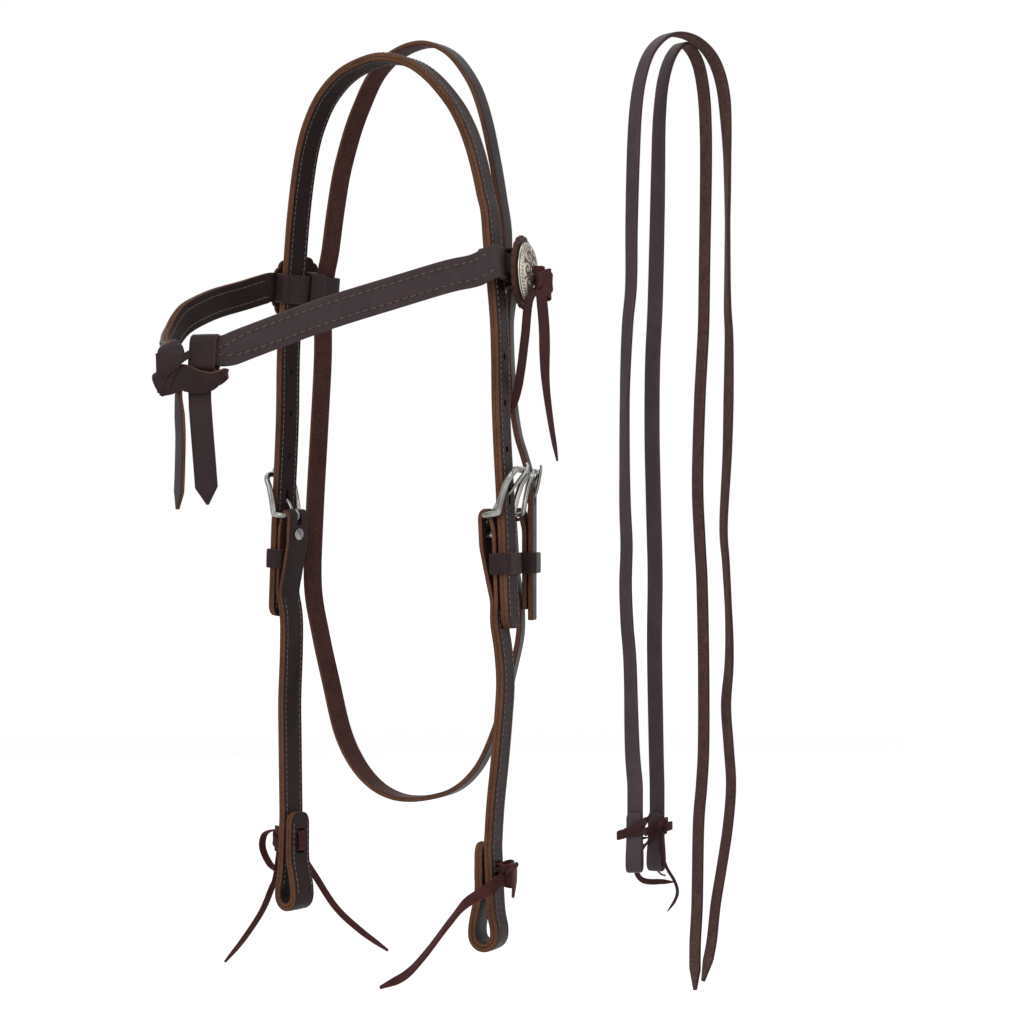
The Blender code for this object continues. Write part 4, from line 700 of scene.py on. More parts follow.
def makeCrown():
    for name, shift, finish in (("crown_outer_ply", 1, "dark"), ("crown_lining_ply", -1, "lining")):
        line = crownLine.offset(shift * (size["ply"] + size["plyGap"]) / 2)
        made = strapPiece(name + "_leather", line, crown["width"], size["ply"], finish, "headstall", [name], groove,
                          crownTips, snug=-shift)
        cutters = []
        for side in (near, off):
            for row in range(1, crown["holes"] + 1):
                height = heel[side].at(0.0, 0.0, crown["tongueRise"] + row * crown["holePitch"])[2]
                spot = crownLine.atHeight(height, side)
                cutters.append(rodCutter(spot, crown["holeRadius"], -size["doubled"], size["doubled"]))
            slot = heel[side].moved(up=crown["tongueRise"])
            cutters.append(slotCutter(slot, 2 * size["doubled"], crown["slotWidth"], crown["slotLength"]))
        cutAway(made, *cutters)
        stitchRow(name + "_stitches", line, stitchRowAt, shift * (size["ply"] / 2 - threadSunk), crown["margin"],
                  line.length - crown["margin"], crown["pitch"], thinThread, "headstall")


makeCrown()
print("crown made")


# lower cheeks, their buckles, keepers and screws

cheek = {"stitchDrop": 47 * mm, "spreadDrop": 7.4 * mm, "keeperDrop": 26.5 * mm, "wire": 1.75 * mm,
         "buckleHeight": 24 * mm, "sideGap": 1.0 * mm, "heelInset": 9.3 * mm,
         "toeStand": {near: 10.0 * mm, off: 6.0 * mm}, "heelSlot": 3.7 * mm, "driverSlot": 0.9 * mm, "driverTurn": 35,
         "dome": ((1.0, 0.0), (1.0, 0.35), (0.96, 0.62), (0.86, 0.82), (0.68, 0.94), (0.4, 1.0), (0.02, 1.0)),
         "postShort": 0.6 * mm, "capReach": 1.2 * mm, "core": 0.02 * mm, "bitEase": ((0.55, 0.62), (0.1, 0.25)),
         "stitchEnds": (6 * mm, 20 * mm), "foldStitches": (47 * mm, 7 * mm),
         "tongue": 1.1 * mm, "ringGap": 0.35 * mm, "tongueTip": 3.5 * mm, "screwDrop": 11.0 * mm,
         "headRadius": 3.6 * mm, "head": 0.9 * mm, "barrel": 2.3 * mm, "stem": 1.35 * mm, "recess": 1.2 * mm,
         "bitRadius": 6.65 * mm, "bitRise": 23.0 * mm, "laceHeight": 40.0 * mm, "foldBack": 57.0 * mm,
         "laceHoles": 5.6 * mm, "holeWidth": 6.6 * mm, "holeHeight": 3.4 * mm,
         near: ((0.992, -0.020, 0.640), (1.016, -0.016, 0.668), (1.024, -0.010, 0.704), (0.990, 0.0, 0.745),
                (0.962, 0.0, 0.790), (0.925, 0.0, 0.840), (0.905, 0.0, 0.885)),
         off: ((-0.944, 0.006, 0.645), (-0.940, 0.004, 0.690), (-0.948, 0.0, 0.745), (-0.945, 0.0, 0.790),
               (-0.940, 0.0, 0.840), (-0.935, 0.0, 0.885))}
keeper = {"height": 11.5 * mm, "wall": 1.8 * mm, "gap": 0.45 * mm, "cornerShare": 1.15}
# the bend of a buckle's wire: shares of its height, of its reach outward and of its width along its outline
wireBend = {"rise": ((0.0, 0.115, 0.30, 1.0), (0.0, 0.02, 0.24, 1.0)),
            "blend": ((0.0, 0.04, 0.115, 0.45, 0.72, 0.92, 1.0), (0.0, 0.18, 0.46, 0.60, 0.75, 0.95, 1.0)),
            "narrow": 0.16, "narrowFrom": 0.80}
tongueBend = {"start": (0.6, 0.8), "below": (0.65, 0.42), "above": (0.65, 0.5), "tip": 0.1, "thinFrom": 0.75,
              "thin": 0.35}
bandStep = 0.8 * mm
outerPlyOut = -(size["doubled"] / 2 + size["lapGap"] + size["ply"] / 2)


def bitFrame(side):
    out = np.cross(heel[side].side, upward)
    last = place(*cheek[side][-1])
    shift = cheek["bitRadius"] - (size["doubled"] + size["plyGap"]) / 2
    bottom = np.array((last[0], last[1], size["doubled"] / 2 + cheek["bitRadius"] - size["headLength"]))
    return Frame(bottom - out * (cheek["bitRadius"] - shift), out, upward), shift


def lowerCheekTrack(side):
    # one strip folded at the heel bar: both plies run down, round the bit and up to the tip
    heelFrame = heel[side]
    way = heelFrame.side
    radius, rise = cheek["bitRadius"], cheek["bitRise"]
    lap = [crownLine.atHeight(-crown["heelDrop"] - cheek["stitchDrop"], side).at(-(size["doubled"] + size["lapGap"]))]
    spine = smooth(lap + places(cheek[side]), 12)
    bit, shift = bitFrame(side)
    eased = [(radius - shift * inward, rise * height) for inward, height in cheek["bitEase"]]
    rising = [spine[-1]] + [bit.at(out, 0.0, up) for out, up in eased]
    angles = np.linspace(0.0, math.pi, 25)
    around = list(bit.at(radius * np.cos(angles), 0.0, -radius * np.sin(angles)))
    closing = [bit.at(-out, 0.0, up) for out, up in reversed(eased)]
    tipUp = cheek["foldBack"] - radius
    back = [bit.at(-(radius - shift), 0.0, height) for height in (rise, (rise + tipUp) / 2, tipUp)]
    centre = Track(np.vstack([spine[:-1], smooth(rising + around + closing + back, 5)]), way).evened(2.0 * mm)
    half = (size["ply"] + size["plyGap"]) / 2
    outer, inner = centre.offset(half), centre.offset(-half)
    bar = heelFrame.moved(out=-cheek["heelInset"])
    fold = cheek["wire"] + size["seatGap"] + size["ply"] / 2
    turn = math.pi * (1 - np.linspace(0.0, 1.0, 21))
    arc = list(bar.at(fold * np.cos(turn), 0.0, fold * np.sin(turn)))
    innerAtKeeper = outerPlyOut - size["ply"] - keeper["wall"] - 2 * keeper["gap"]
    low = crownLine.atHeight(-crown["heelDrop"] - cheek["keeperDrop"] - keeper["height"] / 2, side)
    high = crownLine.atHeight(-crown["heelDrop"] - cheek["spreadDrop"], side)
    innerLead = [low.at(innerAtKeeper - size["plyGap"]),
                 bar.at(-fold, 0.0, -cheek["screwDrop"] - cheek["headRadius"] - size["ply"]),
                 bar.at(-fold, 0.0, -fold)]
    outerLead = [bar.at(fold, 0.0, -size["ply"]), high.at(outerPlyOut), low.at(outerPlyOut)]
    strip = np.vstack([inner.points[::-1], innerLead, arc, outerLead, outer.points])
    return Track(strip, way), centre, bar, fold


def softened(track, passes, step=1.5 * mm):
    # evened stations, each moved a little to the middle of its neighbours, so that folds run smoothly
    fine = track.evened(step)
    points = fine.points.copy()
    for _ in range(passes):
        points[1:-1] += 0.25 * (points[:-2] + points[2:] - 2 * points[1:-1])
    return Track(points, fine.sides)


def makeLowerCheek(side):
    label = sideName[side]
    line, centre, bar, fold = lowerCheekTrack(side)
    line = softened(line, 3)
    made = strapPiece(label + "_lower_cheek_leather", line, crown["width"], size["ply"], "dark", "headstall",
                      [label + "_lower_cheek"], groove, crownTips, 1.5 * mm, snug=-1)
    screw = heel[side].moved(up=-cheek["screwDrop"])
    innerFace = -cheek["heelInset"] - fold - size["ply"] / 2 + size["plyGap"]
    outerFace = outerPlyOut + size["ply"] / 2 - cheek["recess"]
    seat = cheek["headRadius"] + size["plyGap"]
    slotHeight = 2 * fold + 2 * size["ply"]
    cutters = [slotCutter(bar.moved(up=(size["ply"] - fold) / 4), 4 * fold, cheek["heelSlot"], slotHeight),
               rodCutter(screw, cheek["barrel"] + size["plyGap"], -2 * cheek["heelInset"], 0.0),
               rodCutter(screw, seat, outerFace, 0.0),
               rodCutter(screw, seat, innerFace - 3 * size["ply"], innerFace)]
    bit, _ = bitFrame(side)
    lacePlace = bit.moved(up=cheek["laceHeight"] - cheek["bitRadius"])
    for shift in (-cheek["laceHoles"], cheek["laceHoles"]):
        cutters.append(blockCutter(lacePlace.moved(up=shift), 6 * size["doubled"], cheek["holeWidth"],
                                   cheek["holeHeight"]))
    cutAway(made, *cutters)
    both = size["doubled"] / 2 - threadSunk
    start, stop = cheek["stitchEnds"]
    bitEnd = centre.length - cheek["foldBack"] - stop
    foldEnds = [centre.length - reach for reach in cheek["foldStitches"]]
    # the last row: the turned-up end is stitched through to the cheek above the bit
    for name, lift, ends in (("_cheek_stitches_outside", both, (start, bitEnd)),
                             ("_cheek_stitches_inside", -both, (start, bitEnd)),
                             ("_fold_back_stitches", both, foldEnds)):
        stitchRow(label + name, centre, stitchRowAt, lift, *ends, crown["pitch"], thinThread, "headstall")
    return screw, innerFace, outerFace, lacePlace


def screwPieces(label, spot, innerFace, outerFace):
    headIn, headOut = innerFace - size["seatGap"], outerFace + size["seatGap"]
    radius, head, core = cheek["headRadius"], cheek["head"], cheek["core"]
    dome = [(radius * share, head * rise) for share, rise in cheek["dome"]]
    postTop, capLow = headOut - cheek["postShort"], headOut - cheek["capReach"]
    post = [(core, postTop), (cheek["barrel"], postTop), (cheek["barrel"], headIn)]
    post += [(r, headIn - h) for r, h in dome]
    made = turnedPiece(label + "_post_steel", spot, post, "nickel", "headstall", [label + "_screw_post"])
    driver = spot.moved(out=headIn - head).turned(cheek["driverTurn"])
    cutAway(made, blockCutter(driver, cheek["driverSlot"], cheek["driverSlot"], 2.4 * radius))
    cap = [(core, capLow), (cheek["stem"], capLow), (cheek["stem"], headOut)]
    cap += [(r, headOut + h) for r, h in dome]
    turnedPiece(label + "_cap_steel", spot, cap, "nickel", "headstall", [label + "_screw_cap"])


def buckleFrame(name, spot, halfWidth, height, heelOut, toeOut, radius, node):
    # a bent wire: the heel bar lies inside the strap and the toe bar outside it
    outline = evenOutline(halfWidth, height / 2, cheek["sideGap"] + radius, 0.5 * mm)
    share = (outline[:, 1] + height / 2) / height
    rise, blend = [np.interp(share, *wireBend[key]) for key in ("rise", "blend")]
    begin = wireBend["narrowFrom"]
    narrow = 1 - wireBend["narrow"] * np.clip((share - begin) / (1 - begin), 0.0, 1.0) ** 2
    points = spot.at(heelOut + (toeOut - heelOut) * blend, outline[:, 0] * narrow, rise * height)
    line = Track(points, points - spot.at((heelOut + toeOut) / 2, 0.0, height / 2), True).evened(1.0 * mm)
    tube(name, line, radius, "headstall", [node])


def buckleTongue(name, spot, radius, bar, heelOut, toeOut, height, strap, body, node):
    # a ring round the heel bar and a bent wire out through the strap over the toe bar
    pivot = spot.moved(out=heelOut)
    ring = bar + cheek["ringGap"] + radius
    turn = circle(32)
    line = Track(pivot.at(ring * np.cos(turn), 0.0, ring * np.sin(turn)), spot.side, True)
    tube(name + "_ring", line, radius, body, (), 12)
    restOut = toeOut - heelOut + bar + size["seatGap"] + radius
    (startOut, startUp), (lowOut, lowUp), (highOut, highUp) = [tongueBend[key] for key in ("start", "below", "above")]
    rows = ((ring * startOut, ring * startUp), (-heelOut - strap * lowOut, crown["tongueRise"] - strap * lowUp),
            (-heelOut + strap * highOut, crown["tongueRise"] + strap * highUp), (restOut, height),
            (restOut + cheek["tongueTip"] * tongueBend["tip"], height + cheek["tongueTip"]))
    line = Track(smooth([pivot.at(out, 0.0, up) for out, up in rows], 8), spot.side)
    along = line.along[:len(line.points)] / line.length
    begin = tongueBend["thinFrom"]
    shares = 1.0 - tongueBend["thin"] * np.clip((along - begin) / (1 - begin), 0, 1) ** 2
    tube(name, line, radius, body, [node], 12, shares)


def keeperBand(name, spot, innerOut, outerOut, halfSide, body, node):
    halfOut = (outerOut - innerOut) / 2 + keeper["gap"] + keeper["wall"] / 2
    halfWide = halfSide + keeper["gap"] + keeper["wall"] / 2
    outline = roundedOutline(halfOut, halfWide, keeper["wall"] * keeper["cornerShare"])
    line = Track(spot.at((outerOut + innerOut) / 2 + outline[:, 0], outline[:, 1]), spot.up, True)
    strapPiece(name, line, keeper["height"], keeper["wall"], "dark", body, [node], step=bandStep)


lacePlaces = {}
for side in (near, off):
    label = sideName[side]
    screw, innerFace, outerFace, lacePlaces[side] = makeLowerCheek(side)
    screwPieces(label, screw, innerFace, outerFace)
    halfWidth = crown["width"] / 2 + cheek["sideGap"] + cheek["wire"]
    buckleFrame(label + "_cheek_buckle_wire", heel[side], halfWidth, cheek["buckleHeight"], -cheek["heelInset"],
                cheek["toeStand"][side], cheek["wire"], label + "_cheek_buckle_frame")
    buckleTongue(label + "_cheek_tongue", heel[side], cheek["tongue"], cheek["wire"], -cheek["heelInset"],
                 cheek["toeStand"][side], cheek["buckleHeight"], size["doubled"], label + "_tongue",
                 label + "_cheek_buckle_tongue")
    spot = crownLine.atHeight(-crown["heelDrop"] - cheek["keeperDrop"], side)
    keeperBand(label + "_cheek_keeper_leather", spot, outerPlyOut - size["ply"] / 2, size["doubled"] / 2,
               crown["width"] / 2, label + "_keeper", label + "_cheek_keeper")
print("cheeks made")


# throatlatch

throat = {"width": 12.7 * mm, "leather": 3.0 * mm, "yaw": 36.0, "wire": 1.4 * mm, "heelInset": 8.0 * mm,
          "toeStand": 2.0 * mm, "tongue": 0.95 * mm, "lapDrop": 52.0 * mm, "tailDrop": 58.0 * mm,
          "heelSlot": 3.1 * mm, "tongueSlot": 2.5 * mm, "passSteps": (-0.6, 0.0, 0.6), "passLeans": (0.2, -0.3, -1.1),
          "tips": (4.0 * mm, 1.2 * mm, 0.8),
          "offReach": 0.180, "nearReach": 0.145, "centre": (0.94, 0.173, 0.522),
          "arch": ((-0.900, 0.203), (-0.859, 0.166), (-0.823, 0.137), (-0.782, 0.109), (-0.721, 0.081),
                   (-0.650, 0.054), (-0.555, 0.027), (-0.441, 0.001), (-0.289, -0.016), (-0.125, -0.024),
                   (0.055, -0.024), (0.213, -0.014), (0.346, 0.003), (0.477, 0.031), (0.552, 0.056),
                   (0.610, 0.084), (0.654, 0.112), (0.694, 0.140), (0.728, 0.168), (0.765, 0.200)),
          "lean": ((0.936, 0.172, 0.488), (0.900, 0.160, 0.458), (0.868, 0.143, 0.430), (0.846, 0.128, 0.380),
                   (0.836, 0.122, 0.310)),
          "loop": ((-0.972, 0.180, 0.330), (-0.990, 0.170, 0.420), (-1.005, 0.155, 0.520), (-1.000, 0.143, 0.608),
                   (-0.916, 0.140, 0.668), (-0.809, 0.137, 0.724), (-0.690, 0.135, 0.783), (-0.545, 0.133, 0.819),
                   (-0.370, 0.133, 0.842), (-0.180, 0.133, 0.852), (0.0, 0.133, 0.852), (0.180, 0.133, 0.846),
                   (0.358, 0.133, 0.835), (0.500, 0.135, 0.817), (0.618, 0.138, 0.790), (0.745, 0.145, 0.738),
                   (0.835, 0.152, 0.684))}
loop = {"drop": 125 * mm, "spacing": {near: 22.0 * mm, off: 27.5 * mm},
        "cinchPlace": {near: 11.9 * mm, off: 14.5 * mm}, "cinchWidth": {near: 6.8 * mm, off: 11.6 * mm},
        "laceRoom": 2.0 * mm, "corner": 2.5 * mm, "rosette": {near: 20.3 * mm, off: 21.5 * mm},
        "discDrop": {near: 3.4 * mm, off: 0.0}, "discLean": {near: 0.12, off: 0.0}, "discTurn": {near: 6.5, off: 0.0},
        "rosetteLeather": 2.8 * mm, "scallops": 20, "scallopDepth": 1.1 * mm, "concho": 16.5 * mm,
        "conchoRise": 5.6 * mm, "conchoWall": 1.2 * mm, "engraved": 0.32 * mm, "slotSpread": 2.2 * mm,
        "slotWidth": 2.1 * mm, "slotHeight": 8.0 * mm}
# the rosette's cross-section from the middle of its face round the rim to its back: radius, height, cut edge
rosetteRim = ((0.05, 1.0, 0.0), (0.60, 1.0, 0.0), (0.80, 1.0, 0.0), (0.855, 0.93, 0.0), (0.875, 0.90, 0.0),
              (0.895, 0.93, 0.0), (0.95, 1.0, 0.0), (0.975, 0.97, 0.0), (0.993, 0.88, 0.8), (1.0, 0.72, 1.0),
              (1.0, 0.5, 1.0), (1.0, 0.28, 1.0), (0.993, 0.12, 0.8), (0.975, 0.03, 0.0), (0.95, 0.0, 0.0),
              (0.60, 0.0, 0.0), (0.05, 0.0, 0.0))
brow = {"width": 17.5 * mm, "ply": 2.1 * mm}


def makeThroatlatch():
    width = yaw(throat["yaw"])
    out = np.array((width[1], -width[0], 0.0))
    spot = Frame(place(*throat["centre"]), out, upward)
    leather, half = throat["leather"], throat["leather"] / 2
    bar = spot.moved(out=-throat["heelInset"])
    fold = throat["wire"] + size["seatGap"] + half
    lapOut = -(2 * half + size["seatGap"])
    mainOut = lapOut - leather - keeper["wall"] - 2 * keeper["gap"]
    low = -cheek["keeperDrop"] - keeper["height"] / 2
    folded = [spot.at(lapOut, 0.0, -throat["lapDrop"]), spot.at(lapOut, 0.0, low),
              spot.at(lapOut, 0.0, -cheek["spreadDrop"]), bar.at(fold, 0.0, -leather)]
    turn = np.linspace(0.0, math.pi, 21)
    folded += list(bar.at(fold * np.cos(turn), 0.0, fold * np.sin(turn)))
    folded += [bar.at(-fold, 0.0, -fold), spot.at(mainOut - size["plyGap"], 0.0, low)]
    under = lapOut - leather - size["plyGap"]
    run = [spot.at(under, 0.0, -throat["lapDrop"] + size["ply"]),
           spot.at(under, 0.0, -throat["lapDrop"] - throat["width"])]
    run += places(reversed(throat["loop"]))
    offSpot, nearSpot = (crownLine.atHeight(-loop["drop"], side) for side in (off, near))
    steps = [brow["width"] * share for share in throat["passSteps"]]
    run += [offSpot.at(0.0, -loop["spacing"][off], step) for step in steps]
    run += [place(spread, np.interp(spread, (-0.9, 0.75), (throat["offReach"], throat["nearReach"])), drop)
            for spread, drop in throat["arch"]]
    run += [nearSpot.at(lean * size["runningGap"], loop["spacing"][near], step)
            for step, lean in reversed(list(zip(steps, throat["passLeans"])))]
    run += places(reversed(throat["lean"]))
    run += [spot.at(), spot.at(0.0, 0.0, -cheek["keeperDrop"]), spot.at(0.0, 0.0, -throat["tailDrop"])]
    path = np.vstack([folded, smooth(run, 8)])
    share = np.clip((path[:, 0] / size["halfSpread"] + 0.6) / 1.4, 0.0, 1.0)
    turns = np.where(path[:, 2] < -loop["drop"] - brow["width"], throat["yaw"] * share, crown["nearYaw"] * share)
    turns = np.convolve(np.pad(turns, 4, mode="edge"), np.ones(9) / 9, mode="valid")
    turns[:len(folded) + 2] = throat["yaw"]
    line = softened(Track(path, [yaw(value) for value in turns]), 3)

    def tips(fine):
        return tipWidths(fine, throat["width"], *throat["tips"])
    made = strapPiece("throatlatch_leather", line, throat["width"], leather, "dark", "headstall",
                      ["throatlatch_strap"], widths=tips)
    cutAway(made, slotCutter(bar.moved(up=-half / 2), 4 * fold, throat["heelSlot"], 2 * fold + 2 * leather),
            slotCutter(spot.moved(up=crown["tongueRise"]), 4 * leather, throat["tongueSlot"], crown["slotLength"]))
    halfWidth = throat["width"] / 2 + cheek["sideGap"] + throat["wire"]
    buckleFrame("throat_buckle_wire", spot, halfWidth, cheek["buckleHeight"], -throat["heelInset"],
                throat["toeStand"], throat["wire"], "throat_buckle_frame")
    buckleTongue("throat_tongue_wire", spot, throat["tongue"], throat["wire"], -throat["heelInset"],
                 throat["toeStand"], cheek["buckleHeight"], leather, "throat_tongue", "throat_buckle_tongue")
    keeperBand("throat_keeper_leather", spot.moved(up=-cheek["keeperDrop"]), lapOut - half, half,
               throat["width"] / 2, "throat_keeper_body", "throat_keeper")


makeThroatlatch()
print("throatlatch made")


# browband loops, their keepers, rosettes and conchos

loopFace = size["doubled"] / 2 + size["runningGap"] + brow["ply"]
cinchInner = loopFace + size["plyGap"] + loop["laceRoom"]
rosetteInner = cinchInner + keeper["wall"] + size["seatGap"]
conchoBase = rosetteInner + loop["rosetteLeather"] + size["seatGap"]
loopSpot = {side: crownLine.atHeight(-loop["drop"], side) for side in (near, off)}


# the conchos' engraving: rings of curls as (distance, first angle, count), how they wind and how sharp they are;
# then the rope round the rim and the line on either side of it
scroll = {"curls": ((0.62, 0.0, 8), (0.30, 0.4, 4)), "wind": 3.4 * 1.6, "eye": 0.03, "level": 0.30, "contrast": 2.4,
          "fence": 14, "fenceLeast": 0.25, "ropeAt": 0.925, "ropeFade": 0.040, "ropeFull": 1.2, "strands": 46,
          "strandLean": 60, "strandAt": 0.92, "strandContrast": 0.9, "lineAway": 0.062, "lineHalf": 0.012,
          "inside": 0.85, "insideFade": 0.02, "plain": 0.8}


def scrollRelief(rows, turns):
    # engraved curls: each point belongs to its nearest curl, where the height follows a spiral
    # sin(angle + turns * log(distance)); a beaded rope runs round the rim
    share, turn = np.meshgrid(rows, turns, indexing="ij")
    x, y = share * np.cos(turn), share * np.sin(turn)
    centreX, centreY, spins = np.array([
        (distance * math.cos(start + angle), distance * math.sin(start + angle), 1 if k % 2 else -1)
        for distance, start, count in scroll["curls"] for k, angle in enumerate(circle(count))]).T
    distances = np.hypot(x - centreX[:, None, None], y - centreY[:, None, None])
    owner = distances.argmin(axis=0)
    nearest, second = np.sort(distances, axis=0)[:2]
    local = np.arctan2(y - centreY[owner], x - centreX[owner])
    spin = spins[owner]
    curl = 0.5 + 0.5 * np.sin(spin * local + scroll["wind"] * np.log(nearest + scroll["eye"]))
    fence = np.clip((second - nearest) * scroll["fence"], scroll["fenceLeast"], 1.0)
    curl = np.clip((curl - scroll["level"]) * scroll["contrast"], 0.0, 1.0) * fence
    strands = np.sin(scroll["strands"] * turn + (share - scroll["strandAt"]) * scroll["strandLean"])
    rope = np.clip(0.5 + scroll["strandContrast"] * strands, 0.0, 1.0)
    away = np.abs(share - scroll["ropeAt"])
    ring = np.clip(scroll["ropeFull"] - away / scroll["ropeFade"], 0.0, 1.0)
    lines = np.clip(1.0 - np.abs(away - scroll["lineAway"]) / scroll["lineHalf"], 0.0, 1.0)
    inner = np.clip((scroll["inside"] - share) / scroll["insideFade"], 0.0, 1.0)
    plain = (1 - inner) * (1 - ring) * (1 - lines) * scroll["plain"]
    return np.clip(curl * inner + rope * ring + plain, 0.0, 1.0)


def rosettePiece(side, disc):
    radius, sides = loop["rosette"][side], 240
    turn = circle(sides)
    scallop = 1.0 - loop["scallopDepth"] / radius * (1 - np.abs(np.sin(loop["scallops"] * turn / 2)) ** 0.7)
    share, rise, edge = np.array(rosetteRim).T
    profile = np.column_stack([radius * share, rosetteInner + loop["rosetteLeather"] * rise])
    # the leather's face and flesh side meet in the lower part of the rim
    facing = np.where(np.arange(len(share)) < 12, 1.0, -1.0)
    strap = np.column_stack([np.repeat(share, sides) * 0.8, np.tile(turn, len(share)) * 0.02,
                             np.repeat(facing, sides)])
    return turnedPiece(sideName[side] + "_rosette_leather", disc, profile, "rosette", "browband",
                       [sideName[side] + "_rosette"], sides, 40.0, swell=scallop, strap=strap,
                       edge=np.repeat(edge, sides))


def conchoPiece(side, disc):
    # a thin dome: the outer face with its relief from the middle to the rim, then back along the inner face
    radius, rise, wall, sides = loop["concho"], loop["conchoRise"], loop["conchoWall"], 288
    angle = np.linspace(math.pi / 2, 0.0, 72)
    outer = np.column_stack([np.cos(angle) * radius, conchoBase + wall * 0.5 + (rise - wall * 0.5) * np.sin(angle)])
    outer[0, 0] = 0.02 * radius
    inner = np.column_stack([np.cos(angle[::-6]) * radius * 0.93, conchoBase + (rise - wall) * np.sin(angle[::-6])])
    inner[-1, 0] = 0.02 * radius
    profile = np.vstack([outer, [(radius, conchoBase)], inner])
    raised = np.zeros((len(profile), sides))
    raised[:len(outer)] = scrollRelief(outer[:, 0] / radius, circle(sides))
    relief = np.zeros_like(raised)
    relief[:len(outer) - 2] = -loop["engraved"] * (1 - raised[:len(outer) - 2])
    return turnedPiece(sideName[side] + "_concho_silver", disc, profile, "silver", "browband",
                       [sideName[side] + "_concho"], sides, 50.0, relief, raised=raised.ravel())


def makeLoop(side):
    label, spot = sideName[side], loopSpot[side]
    wall = brow["ply"]
    front = -crown["width"] / 2 - size["runningGap"]
    rear = loop["spacing"][side] + throat["width"] / 2 + size["runningGap"]
    outline = roundedOutline(loopFace - wall / 2, (rear - front) / 2 + wall / 2, loop["corner"])
    line = Track(spot.at(outline[:, 0], ((front + rear) / 2 + outline[:, 1]) * side), spot.up * side, True)
    strapPiece(label + "_browband_loop_leather", line, brow["width"], wall, "band", "browband",
               [label + "_browband_loop"], step=bandStep)
    low = -loopFace - keeper["gap"]
    outline = roundedOutline((cinchInner - low) / 2 + keeper["wall"] / 2,
                             brow["width"] / 2 + keeper["gap"] + keeper["wall"] / 2,
                             keeper["wall"] * keeper["cornerShare"])
    line = Track(spot.at((cinchInner + low) / 2 + outline[:, 0], loop["cinchPlace"][side] * side, outline[:, 1]),
                 -spot.side, True)
    cinch = strapPiece(label + "_loop_keeper_leather", line, loop["cinchWidth"][side], keeper["wall"], "band",
                       "browband", [label + "_loop_keeper"], step=bandStep)
    disc = spot.moved(side=loop["cinchPlace"][side] * side, up=-loop["discDrop"][side])
    turn = math.radians(loop["discTurn"][side])
    pivot = disc.at(rosetteInner)
    out = disc.out * math.cos(turn) + np.cross(upward, disc.out) * math.sin(turn)
    out = unit(out - upward * loop["discLean"][side])
    disc = Frame(pivot - out * rosetteInner, out, np.cross(out, disc.side))
    for made in (cinch, rosettePiece(side, disc), conchoPiece(side, disc)):
        cutAway(made, *[blockCutter(disc.moved(out=cinchInner + conchoBase / 2, side=shift), conchoBase * 1.6,
                                    loop["slotWidth"], loop["slotHeight"])
                        for shift in (-loop["slotSpread"], loop["slotSpread"])])
    return disc


arm = {"row": 4.85 * mm, "pitch": 4.5 * mm, "start": {1: 15.0 * mm, -1: 2.0 * mm}, "stop": 4.0 * mm, "steps": 24,
       "threadLift": 0.02 * mm, "thread": (1.6 * mm, 0.34 * mm), "threadTilt": 0.06, "prick": (0.80 * mm, 0.42 * mm),
       "prickTilt": 0.9, "overlap": 0.2, "overlapFront": 0.75, "liningAhead": 0.3,
       "drawn": ((0.0, 0.30), (8.0 * mm, 0.45), (15.0 * mm, 0.80), (24.0 * mm, 1.0)),
       "fray": {near: ((0.0, 0.80), (6.0 * mm, 0.92), (14.0 * mm, 1.0)),
                off: ((0.0, 0.60), (15.0 * mm, 0.72), (28.0 * mm, 0.98), (34.0 * mm, 1.0))},
       near: ((0.957, -0.115, 0.2575), (0.884, -0.200, 0.2643), (0.735, -0.373, 0.2832), (0.543, -0.596, 0.3085),
              (0.337, -0.836, 0.3405), (0.292, -0.890, 0.348), (0.2315, -0.946, 0.3485)),
       off: ((-0.972, -0.220, 0.261), (-0.890, -0.395, 0.275), (-0.755, -0.570, 0.293), (-0.680, -0.652, 0.306),
             (-0.575, -0.740, 0.325), (-0.420, -0.832, 0.338), (-0.220, -0.925, 0.346), (-0.080, -0.975, 0.349),
             (0.067, -1.0095, 0.3485))}


def makeArm(side):
    # the outer ply runs over the loop, its lining starts in front of the loop
    label, spot = sideName[side], loopSpot[side]
    centre = loopFace + size["lapGap"] - size["plyGap"] / 2
    front = -crown["width"] / 2 - size["runningGap"] - brow["ply"]
    backs = (-crown["width"] * arm["overlap"], front * arm["overlapFront"], front - brow["ply"])
    path = smooth([spot.at(centre, back * side) for back in backs] + places(arm[side]), 8)
    lean = np.clip(np.arange(len(path)) / arm["steps"] - 0.5, 0.0, 1.0)[:, None]
    line = softened(Track(path, (spot.up * (1 - lean) + upward * lean) * -side), 2, 2.0 * mm)
    ahead = ((line.points - spot.origin) @ spot.side) * side < front - brow["width"] * arm["liningAhead"]
    for ply, shift, finish in (("outer", 1, "arm"), ("lining", -1, "lining")):
        name = "browband_" + label + "_" + ply
        track = line.offset(shift * (brow["ply"] + size["plyGap"]) / 2)
        if shift < 0:
            track = Track(track.points[ahead], track.sides[ahead])

        def halves(fine):
            left = fine.length - fine.along[:len(fine.points)]
            return brow["width"] / 2 * np.interp(left, *zip(*arm["fray"][side]))
        strapPiece(name + "_leather", track, brow["width"], brow["ply"], finish, "browband", [name], widths=halves,
                   snug=-shift)

        def drawnIn(spots):
            return np.interp(track.length - spots, *zip(*arm["drawn"]))
        # two bold rows, drawn in toward the knot with the strap, and at each stitch's end a near-black bead of
        # painted shade that stands for the shade inside the prick hole
        lift, end = shift * (brow["ply"] / 2 + arm["threadLift"]), track.length - arm["stop"]
        for kind, key, back, look in (("_stitches", "thread", 0.0, "bold"),
                                      ("_pricks", "prick", arm["pitch"] / 2, "prick")):
            stitchRow(name + kind, track, arm["row"], lift, arm["start"][shift] - back, end, arm["pitch"], arm[key],
                      "browband", arm[key + "Tilt"], look, drawnIn)


